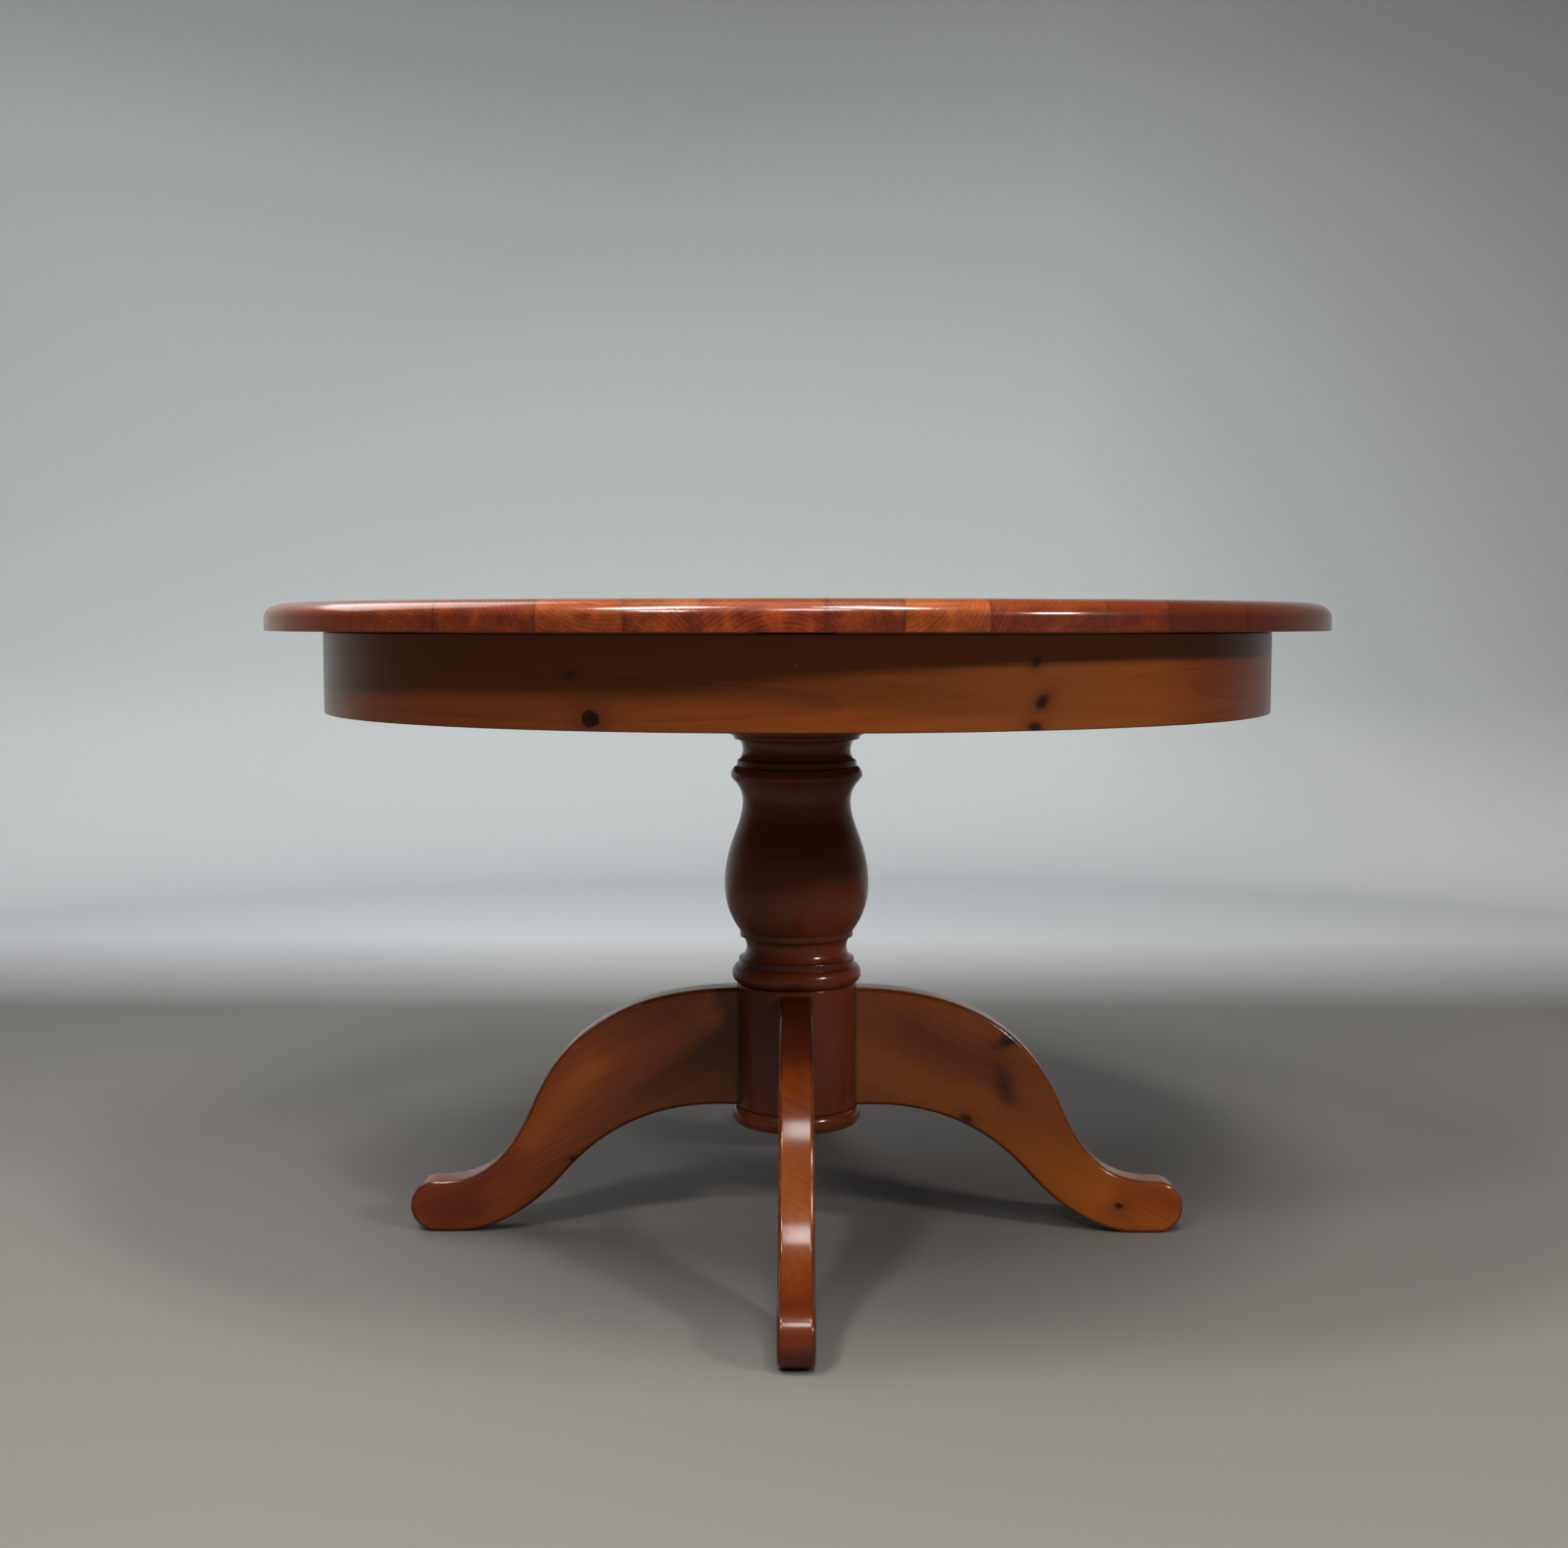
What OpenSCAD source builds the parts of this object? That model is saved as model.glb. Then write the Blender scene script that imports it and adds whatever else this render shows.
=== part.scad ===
// Round pedestal table: a glued-up plank top on a bent apron, a turned column and four S-shaped legs.
// Millimetres. The origin is on the floor under the column's axis, +Z up, the front leg points to -Y.

/* [Top] */
// Overall height of the table
table_h = 742; // [700:1:790]
// Diameter of the round top
top_d = 1200; // [1140:10:1400]
// Thickness of the top boards
top_t = 30; // [26:1:40]
// Width of the rounded upper edge, measured inward
edge_round_w = 26; // [8:1:36]
// Depth of the rounded upper edge, measured downward
edge_round_h = 16; // [6:1:22]

/* [Apron] */
// Outer diameter of the apron ring
apron_d = 1075; // [1040:5:1100]
// Height of the apron ring
apron_h = 89; // [70:1:110]
// Thickness of the bent apron
apron_t = 18; // [14:1:22]
// Shadow gap between the apron and the top
apron_gap = 1; // [0.5:0.5:3]
// Length of a block that joins the two apron halves
splice_l = 120; // [90:5:150]
// Thickness of the blocks behind the apron
block_t = 28; // [24:1:34]
// Length of a glue block
block_l = 70; // [60:5:90]
// Height of a glue block
block_h = 40; // [34:1:50]

/* [Battens and head plate] */
// Distance from the table's centre line to the middle of a batten
bearer_y = 125; // [110:1:135]
// Width of a batten
bearer_w = 70; // [60:1:80]
// Height of a batten
bearer_h = 44; // [40:1:50]
// Side of the square head plate
plate_w = 360; // [350:5:400]
// Thickness of the head plate
plate_t = 28; // [24:1:32]
// Cut-off on the head plate's corners
plate_corner = 30; // [10:1:40]

/* [Column] */
// Radius of the plain shaft that the legs meet
shaft_r = 70.5; // [68:0.5:74]
// Largest radius of the vase
vase_r = 84.7; // [80:0.1:90]
// Radius at the neck above the vase
neck_r = 63.5; // [60:0.5:68]
// Radius of the column's head
head_r = 84; // [80:1:95]
// Side of the square pocket inside the column's foot
pocket_w = 64; // [60:1:68]
// Depth of that pocket
pocket_h = 137; // [125:1:140]
// Radius of the tenon on the column's head
tenon_r = 25; // [20:1:28]

/* [Legs] */
// Thickness of a leg
leg_t = 38; // [32:1:44]
// Distance from the column's axis to the tip of a toe
leg_reach = 458; // [450:1:480]
// Radius of the round toe
toe_r = 30.75; // [28:0.25:34]
// Height of the leg's upper edge where it meets the column
leg_root_top = 293.5; // [285:0.5:296]
// Height of the leg's lower edge where it meets the column
leg_root_low = 153.5; // [150:0.5:160]
// Height of the column's foot, where the base cap starts
foot_z = 153; // [148:1:158]
// Thickness of the base cap
cap_t = 21.5; // [18:0.5:26]

/* [Fasteners] */
// Diameter of the hanger bolts and lag bolts
bolt_d = 8; // [6:1:8]
// Diameter of the leg dowels
dowel_d = 10; // [8:1:12]
// Length of the leg dowels
dowel_l = 50; // [40:1:56]
// Diameter of the wood screws
screw_d = 4.5; // [4:0.1:5]
// Diameter of the screws' heads
screw_head_d = 9; // [8:0.5:10]

/* [Hidden] */
$fn = 96;

// Room round a fastener in its hole
fit_gap = 0.1;
// Overcut, so that no cut ends exactly on a face
over = 1;
// Room round the lag bolts, the hanger bolts and in the washers
plate_bolt_room = 1;
leg_bolt_room = 0.6;
washer_room = 0.4;
// Room at each end of a dowel
dowel_end_room = 2;
// How far the cut that copes a leg to the shaft goes past the leg's edges
cope_over = 20;
pan_head_h = 3;
pan_recess_h = 2;
sunk_recess_h = 1.8;

top_z = table_h - top_t;
apron_r = apron_d / 2;
apron_in = apron_r - apron_t;
apron_z = top_z - apron_gap - apron_h;
apron_arris = 2;
bearer_z = top_z - bearer_h;
plate_z = bearer_z - plate_t;

// Board widths from left to right, as they were picked from the pile, scaled to the top
board_widths = [85, 95, 90, 100, 80, 68, 107, 68, 75, 108, 62, 87, 95, 80];
boards = len(board_widths);
function total(v, n) = n == 0 ? 0 : v[n - 1] + total(v, n - 1);
board_scale = top_d / total(board_widths, boards);
function board_edge(i) = -top_d / 2 + board_scale * total(board_widths, i);
function board_middle(i) = (board_edge(i) + board_edge(i + 1)) / 2;
// The first and last boards lie outside the battens
fixed_boards = [for (i = [1:boards - 2]) i];

block_angles = [40, 90, 140, 220, 270, 320];
block_screw_side = 15;
block_screw_l = 38;
block_top_screw_l = block_h + 18;
// Splice blocks stop this far above the apron's lower edge
splice_lift = 10;
splice_screw_y = 35;
splice_screw_z = [apron_z + 28, apron_z + 68];

// Batten ends stop short of the apron, so that the top can move with the seasons
bearer_end_gap = 2;
bearer_half = sqrt(pow(apron_in, 2) - pow(bearer_y + bearer_w / 2, 2)) - bearer_end_gap;
bearer_bevel = [40, 24];
bearer_bore_d = 14;
bearer_bore_h = 18;
bearer_screw_l = 45;
plate_bolt_x = [-160, -95, 95, 160];
plate_bolt_l = 62;
head_screw_r = 60;
head_screw_l = 65;

cap_z = foot_z - cap_t;
cap_screw_r = 57.5;
cap_screw_l = 42;
// Heights of the hanger bolts and dowels in each leg
leg_bolt_z = [leg_root_low + 45, leg_root_top - 45];
leg_dowel_z = [leg_root_low + 18, leg_root_top - 18];
leg_bolt_in = 20;
leg_bolt_out = 122;
washer_d = 20;
washer_t = 1.6;
nut_d = 14.4;
nut_t = 6.5;
leg_angles = [270, 0, 90, 180];

toe_x = leg_reach - toe_r;
// The leg's root starts inside the shaft and is coped to it
root_x = 60;
knee = [310, 159];
shin = [275, 71];
heel_x = 404;

pine = "#c4813f";
pine_light = "#cf9150";
pine_dark = "#a9682f";
pine_raw = "#d9b27c";
zinc = "#b9bcbf";

// ---- Outlines ----

// A cubic curve from a to d with handles b and c, in n steps
function curve(a, b, c, d, n) = [
    for (i = [0:n])
        let (t = i / n, s = 1 - t)
        s * s * s * a + 3 * s * s * t * b + 3 * s * t * t * c + t * t * t * d
];

// An arc of an oval about [x, y] with half-widths rx and ry, from angle a0 to a1
function oval(x, y, rx, ry, a0, a1, n) = [
    for (i = [0:n])
        let (a = a0 + (a1 - a0) * i / n)
        [x + rx * cos(a), y + ry * sin(a)]
];

function top_profile() = concat(
    [[0, 0], [top_d / 2, 0]],
    oval(top_d / 2 - edge_round_w, top_t - edge_round_h, edge_round_w, edge_round_h, 0, 90, 10),
    [[0, top_t]]
);

// From the foot up: shaft, bead, fillet, cove, fillet, vase, neck, bead, fillet, cove, head, tenon
function column_profile() = concat(
    [[0, foot_z], [shaft_r, foot_z], [shaft_r, 298]],
    oval(68, 310, 8, 10.5, -90, 90, 12),
    [[68, 328]],
    oval(66.5, 341.5, -7.5, 12.5, -90, 90, 12),
    [[66.5, 361]],
    curve([66.8, 361], [78.8, 377], [vase_r, 395], [vase_r, 415], 10),
    curve([vase_r, 415], [vase_r, 463], [neck_r, 483], [neck_r, 513], 12),
    curve([neck_r, 513], [neck_r, 525], [69, 533], [76, 540], 6),
    oval(69.6, 542.5, 7.6, 12, 0, 90, 6),
    [[70.6, 554.5], [70.6, 561]],
    oval(70.6, 573.5, -7.3, 12.5, -90, 90, 12),
    [[73.5, 586], [73.5, 590]],
    oval(73.5, 607, head_r - 73.5, 17, -90, 0, 6),
    [[head_r, plate_z], [tenon_r, plate_z], [tenon_r, plate_z + plate_t], [0, plate_z + plate_t]]
);

function cap_profile() = concat(
    [[0, cap_z]],
    oval(68.4, cap_z + cap_t / 2 - 0.25, 7.1, cap_t / 2 - 0.25, -90, 90, 12),
    [[68.4, foot_z], [0, foot_z]]
);

// The leg seen from its side: [distance from the axis, height]
function leg_outline() = concat(
    curve([root_x, leg_root_top], [170, leg_root_top], [264, 264], knee, 14),
    curve(knee, [342, 84], [371, 2 * toe_r], [toe_x, 2 * toe_r], 12),
    oval(toe_x, toe_r, toe_r, toe_r, 80, -90, 17),
    curve([heel_x, 0], [351, 0], [304, 38], shin, 12),
    curve(shin, [194, 165], [95, leg_root_low], [root_x, leg_root_low], 14)
);

// ---- Fasteners, each with its driven end at z = 0 and its point up ----

module cross_recess(depth) {
    for (a = [0, 90])
        rotate([0, 0, a])
            translate([-screw_d / 2, -0.5, -over])
                cube([screw_d, 1, depth + over]);
}

module screw_shank(l) {
    tip_l = 1.5 * screw_d;
    cylinder(h = l - tip_l, d = screw_d);
    translate([0, 0, l - tip_l])
        cylinder(h = tip_l, d1 = screw_d, d2 = 1);
}

// Flat-headed wood screw, sunk flush
module sunk_screw(l) {
    difference() {
        union() {
            cylinder(h = (screw_head_d - screw_d) / 2, d1 = screw_head_d, d2 = screw_d);
            screw_shank(l);
        }
        cross_recess(sunk_recess_h);
    }
}

// Pan-headed wood screw: the head stands below z = 0
module pan_screw(l) {
    difference() {
        union() {
            translate([0, 0, -pan_head_h])
                cylinder(h = pan_head_h, d1 = screw_head_d - 2, d2 = screw_head_d);
            screw_shank(l);
        }
        translate([0, 0, -pan_head_h])
            cross_recess(pan_recess_h);
    }
}

module screw_hole(l) {
    translate([0, 0, -over])
        cylinder(h = l + over + fit_gap, d = screw_d + 2 * fit_gap);
}

module sunk_screw_hole(l) {
    head_h = (screw_head_d - screw_d) / 2;
    screw_hole(l);
    translate([0, 0, -fit_gap])
        cylinder(h = head_h, d1 = screw_head_d + 2 * fit_gap, d2 = screw_d + 2 * fit_gap);
}

module washer(hole_d) {
    difference() {
        cylinder(h = washer_t, d = washer_d);
        translate([0, 0, -over])
            cylinder(h = washer_t + 2 * over, d = hole_d);
    }
}

// ---- Where the fasteners go ----

module at_bearer_screws(side) {
    for (i = fixed_boards)
        translate([board_middle(i), side * bearer_y, bearer_z + bearer_bore_h])
            children();
}

module at_plate_bolts(side) {
    for (x = plate_bolt_x)
        translate([x, side * bearer_y, plate_z])
            children();
}

module at_head_screws() {
    for (a = [45:90:315])
        rotate([0, 0, a])
            translate([head_screw_r, 0, plate_z + plate_t])
                rotate([180, 0, 0])
                    children();
}

module at_cap_screws() {
    for (a = [45:90:315])
        rotate([0, 0, a])
            translate([cap_screw_r, 0, cap_z])
                children();
}

// Straight up through a glue block into the top
module at_block_top_screw(a) {
    rotate([0, 0, a])
        translate([apron_in - block_t / 2, block_screw_side, top_z - block_h])
            children();
}

// Outward through a glue block into the apron
module at_block_side_screw(a) {
    rotate([0, 0, a])
        translate([apron_in - block_t, -block_screw_side, top_z - block_h / 2])
            rotate([0, 90, 0])
                children();
}

// Outward through a splice block, two screws into each half of the apron
module at_splice_screws(a) {
    rotate([0, 0, a])
        for (y = [-splice_screw_y, splice_screw_y], z = splice_screw_z)
            translate([apron_in - block_t, y, z])
                rotate([0, 90, 0])
                    children();
}

module at_leg_bolts(a) {
    rotate([0, 0, a])
        for (z = leg_bolt_z)
            translate([0, 0, z])
                rotate([0, 90, 0])
                    children();
}

module at_leg_dowels(a) {
    rotate([0, 0, a])
        for (z = leg_dowel_z)
            translate([shaft_r - dowel_l / 2, 0, z])
                rotate([0, 90, 0])
                    children();
}

// ---- Top ----

module top_board(number) {
    i = number - 1;
    left = i == 0 ? -top_d : board_edge(i);
    right = number == boards ? top_d : board_edge(number);
    color(i % 3 == 0 ? pine_light : i % 3 == 1 ? pine : pine_dark)
        difference() {
            intersection() {
                translate([0, 0, top_z])
                    rotate_extrude()
                        polygon(top_profile());
                translate([left, -top_d, top_z - over])
                    cube([right - left, 2 * top_d, top_t + 2 * over]);
            }
            for (side = [-1, 1])
                if (i > 0 && number < boards)
                    translate([board_middle(i), side * bearer_y, bearer_z + bearer_bore_h])
                        screw_hole(bearer_screw_l);
            for (a = block_angles)
                at_block_top_screw(a)
                    screw_hole(block_top_screw_l);
        }
}

// ---- Apron ----

module apron_half(side) {
    color(pine)
        difference() {
            intersection() {
                translate([0, 0, apron_z])
                    rotate_extrude($fn = 180)
                        polygon([
                            [apron_in, 0],
                            [apron_r - apron_arris, 0],
                            [apron_r, apron_arris],
                            [apron_r, apron_h],
                            [apron_in, apron_h]
                        ]);
                translate([-apron_d, side > 0 ? 0 : -apron_d, apron_z - over])
                    cube([2 * apron_d, apron_d, apron_h + 2 * over]);
            }
            for (a = [0, 180])
                at_splice_screws(a)
                    screw_hole(block_screw_l);
            for (a = block_angles)
                if (sin(a) * side > 0)
                    at_block_side_screw(a)
                        screw_hole(block_screw_l);
        }
}

module apron_splice(a) {
    z0 = apron_z + splice_lift;
    color(pine_raw)
        difference() {
            intersection() {
                translate([0, 0, z0])
                    cylinder(h = apron_h - splice_lift, r = apron_in, $fn = 180);
                rotate([0, 0, a])
                    translate([apron_in - block_t, -splice_l / 2, z0 - over])
                        cube([block_t + over, splice_l, apron_h + 2 * over]);
            }
            at_splice_screws(a)
                screw_hole(block_screw_l);
        }
}

module apron_block(number) {
    a = block_angles[number - 1];
    color(pine_raw)
        difference() {
            intersection() {
                translate([0, 0, top_z - block_h])
                    cylinder(h = block_h, r = apron_in, $fn = 180);
                rotate([0, 0, a])
                    translate([apron_in - block_t, -block_l / 2, top_z - block_h - over])
                        cube([block_t + over, block_l, block_h + 2 * over]);
            }
            at_block_top_screw(a)
                screw_hole(block_top_screw_l);
            at_block_side_screw(a)
                screw_hole(block_screw_l);
        }
}

// ---- Battens, head plate ----

module bearer(side) {
    color(pine_raw)
        difference() {
            translate([0, side * bearer_y + bearer_w / 2, bearer_z])
                rotate([90, 0, 0])
                    linear_extrude(bearer_w)
                        polygon([
                            [-bearer_half, bearer_h],
                            [-bearer_half, bearer_bevel[1]],
                            [-bearer_half + bearer_bevel[0], 0],
                            [bearer_half - bearer_bevel[0], 0],
                            [bearer_half, bearer_bevel[1]],
                            [bearer_half, bearer_h]
                        ]);
            at_bearer_screws(side)
                union() {
                    screw_hole(bearer_screw_l);
                    translate([0, 0, -bearer_bore_h - over])
                        cylinder(h = bearer_bore_h + over, d = bearer_bore_d);
                }
            at_plate_bolts(side)
                cylinder(h = plate_bolt_l + fit_gap, d = bolt_d + 2 * fit_gap);
        }
}

module head_plate() {
    half = plate_w / 2;
    cut = half - plate_corner;
    color(pine_raw)
        difference() {
            translate([0, 0, plate_z])
                linear_extrude(plate_t)
                    polygon([
                        [-cut, -half], [cut, -half], [half, -cut], [half, cut],
                        [cut, half], [-cut, half], [-half, cut], [-half, -cut]
                    ]);
            translate([0, 0, plate_z - over])
                cylinder(h = plate_t + 2 * over, r = tenon_r + fit_gap);
            for (side = [-1, 1])
                at_plate_bolts(side)
                    translate([0, 0, -over])
                        cylinder(h = plate_t + 2 * over, d = bolt_d + plate_bolt_room);
            at_head_screws()
                sunk_screw_hole(head_screw_l);
        }
}

// ---- Column, base cap, legs ----

module column() {
    color(pine_dark)
        difference() {
            rotate_extrude()
                polygon(column_profile());
            translate([-pocket_w / 2, -pocket_w / 2, foot_z - over])
                cube([pocket_w, pocket_w, pocket_h + over]);
            for (a = leg_angles) {
                at_leg_bolts(a)
                    cylinder(h = shaft_r + over, d = bolt_d + leg_bolt_room);
                at_leg_dowels(a)
                    translate([0, 0, -dowel_end_room])
                        cylinder(h = dowel_l, d = dowel_d + 2 * fit_gap);
            }
            at_head_screws()
                screw_hole(head_screw_l);
            at_cap_screws()
                screw_hole(cap_screw_l);
        }
}

module base_cap() {
    color(pine_dark)
        difference() {
            rotate_extrude()
                polygon(cap_profile());
            at_cap_screws()
                sunk_screw_hole(cap_screw_l);
        }
}

module leg(a) {
    color(pine)
        difference() {
            rotate([0, 0, a])
                translate([0, leg_t / 2, 0])
                    rotate([90, 0, 0])
                        linear_extrude(leg_t)
                            polygon(leg_outline());
            translate([0, 0, leg_root_low - cope_over])
                cylinder(h = leg_root_top - leg_root_low + 2 * cope_over, r = shaft_r);
            at_leg_bolts(a)
                cylinder(h = leg_bolt_out + fit_gap, d = bolt_d + 2 * fit_gap);
            at_leg_dowels(a)
                cylinder(h = dowel_l + dowel_end_room, d = dowel_d + 2 * fit_gap);
        }
}

// ---- Fastener groups ----

module leg_dowels() {
    color(pine_raw)
        for (a = leg_angles)
            at_leg_dowels(a)
                cylinder(h = dowel_l, d = dowel_d);
}

// Hanger bolts: a plain thread through the shaft's wall and a wood thread in the leg
module leg_bolts() {
    point_l = 10;
    color(zinc)
        for (a = leg_angles)
            at_leg_bolts(a) {
                translate([0, 0, leg_bolt_in])
                    cylinder(h = leg_bolt_out - leg_bolt_in - point_l, d = bolt_d);
                translate([0, 0, leg_bolt_out - point_l])
                    cylinder(h = point_l, d1 = bolt_d, d2 = 2);
            }
}

module leg_washers() {
    color(zinc)
        for (a = leg_angles)
            at_leg_bolts(a)
                translate([0, 0, pocket_w / 2 - washer_t])
                    washer(bolt_d + washer_room);
}

module leg_nuts() {
    color(zinc)
        for (a = leg_angles)
            at_leg_bolts(a)
                translate([0, 0, pocket_w / 2 - washer_t - nut_t])
                    difference() {
                        cylinder(h = nut_t, d = nut_d, $fn = 6);
                        translate([0, 0, -over])
                            cylinder(h = nut_t + 2 * over, d = bolt_d + 2 * fit_gap);
                    }
}

module base_cap_screws() {
    color(zinc)
        at_cap_screws()
            sunk_screw(cap_screw_l);
}

module column_head_screws() {
    color(zinc)
        at_head_screws()
            sunk_screw(head_screw_l);
}

module plate_bolts() {
    head_t = 5.3;
    point_l = 8;
    color(zinc)
        for (side = [-1, 1])
            at_plate_bolts(side) {
                translate([0, 0, -washer_t - head_t])
                    cylinder(h = head_t, d = nut_d, $fn = 6);
                translate([0, 0, -washer_t])
                    cylinder(h = plate_bolt_l + washer_t - point_l, d = bolt_d);
                translate([0, 0, plate_bolt_l - point_l])
                    cylinder(h = point_l, d1 = bolt_d, d2 = 2);
            }
}

module plate_washers() {
    color(zinc)
        for (side = [-1, 1])
            at_plate_bolts(side)
                translate([0, 0, -washer_t])
                    washer(bolt_d + washer_room);
}

module bearer_screws() {
    color(zinc)
        for (side = [-1, 1])
            at_bearer_screws(side)
                pan_screw(bearer_screw_l);
}

module apron_splice_screws() {
    color(zinc)
        for (a = [0, 180])
            at_splice_screws(a)
                pan_screw(block_screw_l);
}

module apron_block_screws() {
    color(zinc)
        for (a = block_angles) {
            at_block_top_screw(a)
                pan_screw(block_top_screw_l);
            at_block_side_screw(a)
                pan_screw(block_screw_l);
        }
}

// ---- Drawing ----

top_board(1);  // top_board_01
top_board(2);  // top_board_02
top_board(3);  // top_board_03
top_board(4);  // top_board_04
top_board(5);  // top_board_05
top_board(6);  // top_board_06
top_board(7);  // top_board_07
top_board(8);  // top_board_08
top_board(9);  // top_board_09
top_board(10);  // top_board_10
top_board(11);  // top_board_11
top_board(12);  // top_board_12
top_board(13);  // top_board_13
top_board(14);  // top_board_14
apron_half(-1);  // apron_front
apron_half(1);  // apron_back
apron_splice(180);  // apron_splice_left
apron_splice(0);  // apron_splice_right
apron_block(1);  // apron_block_1
apron_block(2);  // apron_block_2
apron_block(3);  // apron_block_3
apron_block(4);  // apron_block_4
apron_block(5);  // apron_block_5
apron_block(6);  // apron_block_6
bearer(-1);  // bearer_front
bearer(1);  // bearer_back
head_plate();
column();
base_cap();
leg(270);  // leg_front
leg(0);  // leg_right
leg(90);  // leg_back
leg(180);  // leg_left
leg_dowels();
leg_bolts();
leg_washers();
leg_nuts();
base_cap_screws();
column_head_screws();
plate_bolts();
plate_washers();
bearer_screws();
apron_splice_screws();
apron_block_screws();
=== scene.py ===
"""Looks of the round pedestal table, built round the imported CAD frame. Metres, +Z up, the front leg to -Y."""

import math
import random

import bmesh
import bpy
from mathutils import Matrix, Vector


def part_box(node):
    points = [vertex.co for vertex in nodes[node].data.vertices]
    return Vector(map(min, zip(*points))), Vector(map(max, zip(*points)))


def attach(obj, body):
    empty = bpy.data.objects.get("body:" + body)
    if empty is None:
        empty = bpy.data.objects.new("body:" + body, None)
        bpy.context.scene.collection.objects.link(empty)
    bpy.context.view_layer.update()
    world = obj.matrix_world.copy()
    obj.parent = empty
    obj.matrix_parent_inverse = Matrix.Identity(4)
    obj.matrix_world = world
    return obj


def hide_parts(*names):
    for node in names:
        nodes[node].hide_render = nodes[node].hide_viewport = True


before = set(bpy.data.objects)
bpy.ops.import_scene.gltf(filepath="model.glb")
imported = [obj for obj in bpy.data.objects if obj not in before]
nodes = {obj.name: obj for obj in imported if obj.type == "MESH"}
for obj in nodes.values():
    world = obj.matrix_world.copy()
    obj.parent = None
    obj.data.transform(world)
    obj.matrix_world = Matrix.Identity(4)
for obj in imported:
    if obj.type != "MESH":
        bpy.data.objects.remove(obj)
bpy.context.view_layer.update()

MM = 0.001
BOARDS = sorted(n for n in nodes if n.startswith("top_board_"))
LEGS = {"leg_front": 270, "leg_right": 0, "leg_back": 90, "leg_left": 180}

# ---------------------------------------------------------------- sizes that the frame gives

TOP_LOW, TOP_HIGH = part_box("top_board_07")
TOP_R = TOP_HIGH.y
APRON_LOW, APRON_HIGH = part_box("apron_front")
APRON_R = APRON_HIGH.x
COLUMN_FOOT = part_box("column")[0].z
CAP_LOW, CAP_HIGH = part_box("base_cap")
PLATE_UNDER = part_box("head_plate")[0].z
LEG_HALF = (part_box("leg_right")[1].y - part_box("leg_right")[0].y) / 2

# ---------------------------------------------------------------- sizes that it doesn't give

EDGE_ROUND_W = 26 * MM  # the rounding of the top's upper edge
EDGE_ROUND_H = 16 * MM
UNDER_ARRIS = 1.2 * MM  # the small round of its lower edge
JOINT_GAP = 0.02 * MM  # half of the hairline between two boards
JOINT_ARRIS = 0.06 * MM
APRON_T = 18 * MM
APRON_ARRIS = 2.2 * MM
SHAFT_R = 70.5 * MM
TENON_R = 25 * MM
POCKET_HALF = 32 * MM  # the square pocket in the column's foot
POCKET_H = 137 * MM
CAP_SCREW_PLACE_R = 57.5 * MM
TOE_R = 30.75 * MM
LEG_ARRIS = 5 * MM
NEAR = 0.1 * MM  # how close counts as on a face or an edge

# How many flat steps make each round
TOP_STEPS = 512
APRON_STEPS = 216
TURNED_STEPS = 256
CAP_HOLE_STEPS = 32
STAGE_STEPS = 96


# ---------------------------------------------------------------- outlines


def curve(a, b, c, d, n):
    """Points of a cubic curve from a to d with handles b and c, without its last point."""
    points = []
    for i in range(n):
        t = i / n
        s = 1 - t
        points.append(
            tuple(
                s**3 * p + 3 * s * s * t * q + 3 * s * t * t * u + t**3 * v
                for p, q, u, v in zip(a, b, c, d)
            )
        )
    return points


def oval(x, y, rx, ry, a0, a1, n):
    """Points of an oval arc about (x, y), both ends included."""
    turns = [math.radians(a0 + (a1 - a0) * i / n) for i in range(n + 1)]
    return [(x + rx * math.cos(a), y + ry * math.sin(a)) for a in turns]


def softened(points, size, corner=25):
    """The outline with each corner sharper than `corner` degrees cut into a small round of about `size`."""
    soft = [points[0]]
    for before, at, after in zip(points, points[1:], points[2:]):
        into = Vector(at) - Vector(before)
        out = Vector(after) - Vector(at)
        if into.length < 1e-7 or out.length < 1e-7:
            continue
        if math.degrees(into.angle(out)) < corner:
            soft.append(at)
            continue
        cut = min(size, into.length * 0.45, out.length * 0.45)
        start = Vector(at) - into.normalized() * cut
        end = Vector(at) + out.normalized() * cut
        for i in range(4):
            t = i / 3
            soft.append(tuple((1 - t) ** 2 * start + 2 * t * (1 - t) * Vector(at) + t * t * end))
    return soft + [points[-1]]


def millimetres(points):
    """Points given in millimetres, in metres."""
    return [(x * MM, y * MM) for x, y in points]


def progress(value, low, high):
    """How far value has come from low to high, from 0 to 1."""
    return max(0.0, min(1.0, (value - low) / (high - low)))


# ---------------------------------------------------------------- pieces


def make_piece(name, bm, material, smooth_angle=32, flats=True):
    """Turns bm into an object that stands for the CAD node of the same name. flats: it has flat faces."""
    bmesh.ops.recalc_face_normals(bm, faces=bm.faces)
    mesh = bpy.data.meshes.new(name)
    bm.to_mesh(mesh)
    bm.free()
    mesh.shade_smooth()
    mesh.set_sharp_from_angle(angle=math.radians(smooth_angle))
    piece = bpy.data.objects.new(f"{name}_wood", mesh)
    bpy.context.scene.collection.objects.link(piece)
    mesh.materials.append(material)
    if flats:
        even = piece.modifiers.new("flat faces stay flat", "WEIGHTED_NORMAL")
        even.keep_sharp = True
    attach(piece, "root")
    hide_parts(name)
    return piece


def write_values(mesh, name, kind, values):
    """Stores one value per vertex under `name`."""
    mesh.attributes.new(name, kind, "POINT")
    data = mesh.attributes[name].data
    for i, value in enumerate(values):
        if kind == "FLOAT_VECTOR":
            data[i].vector = value
        else:
            data[i].value = value


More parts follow.
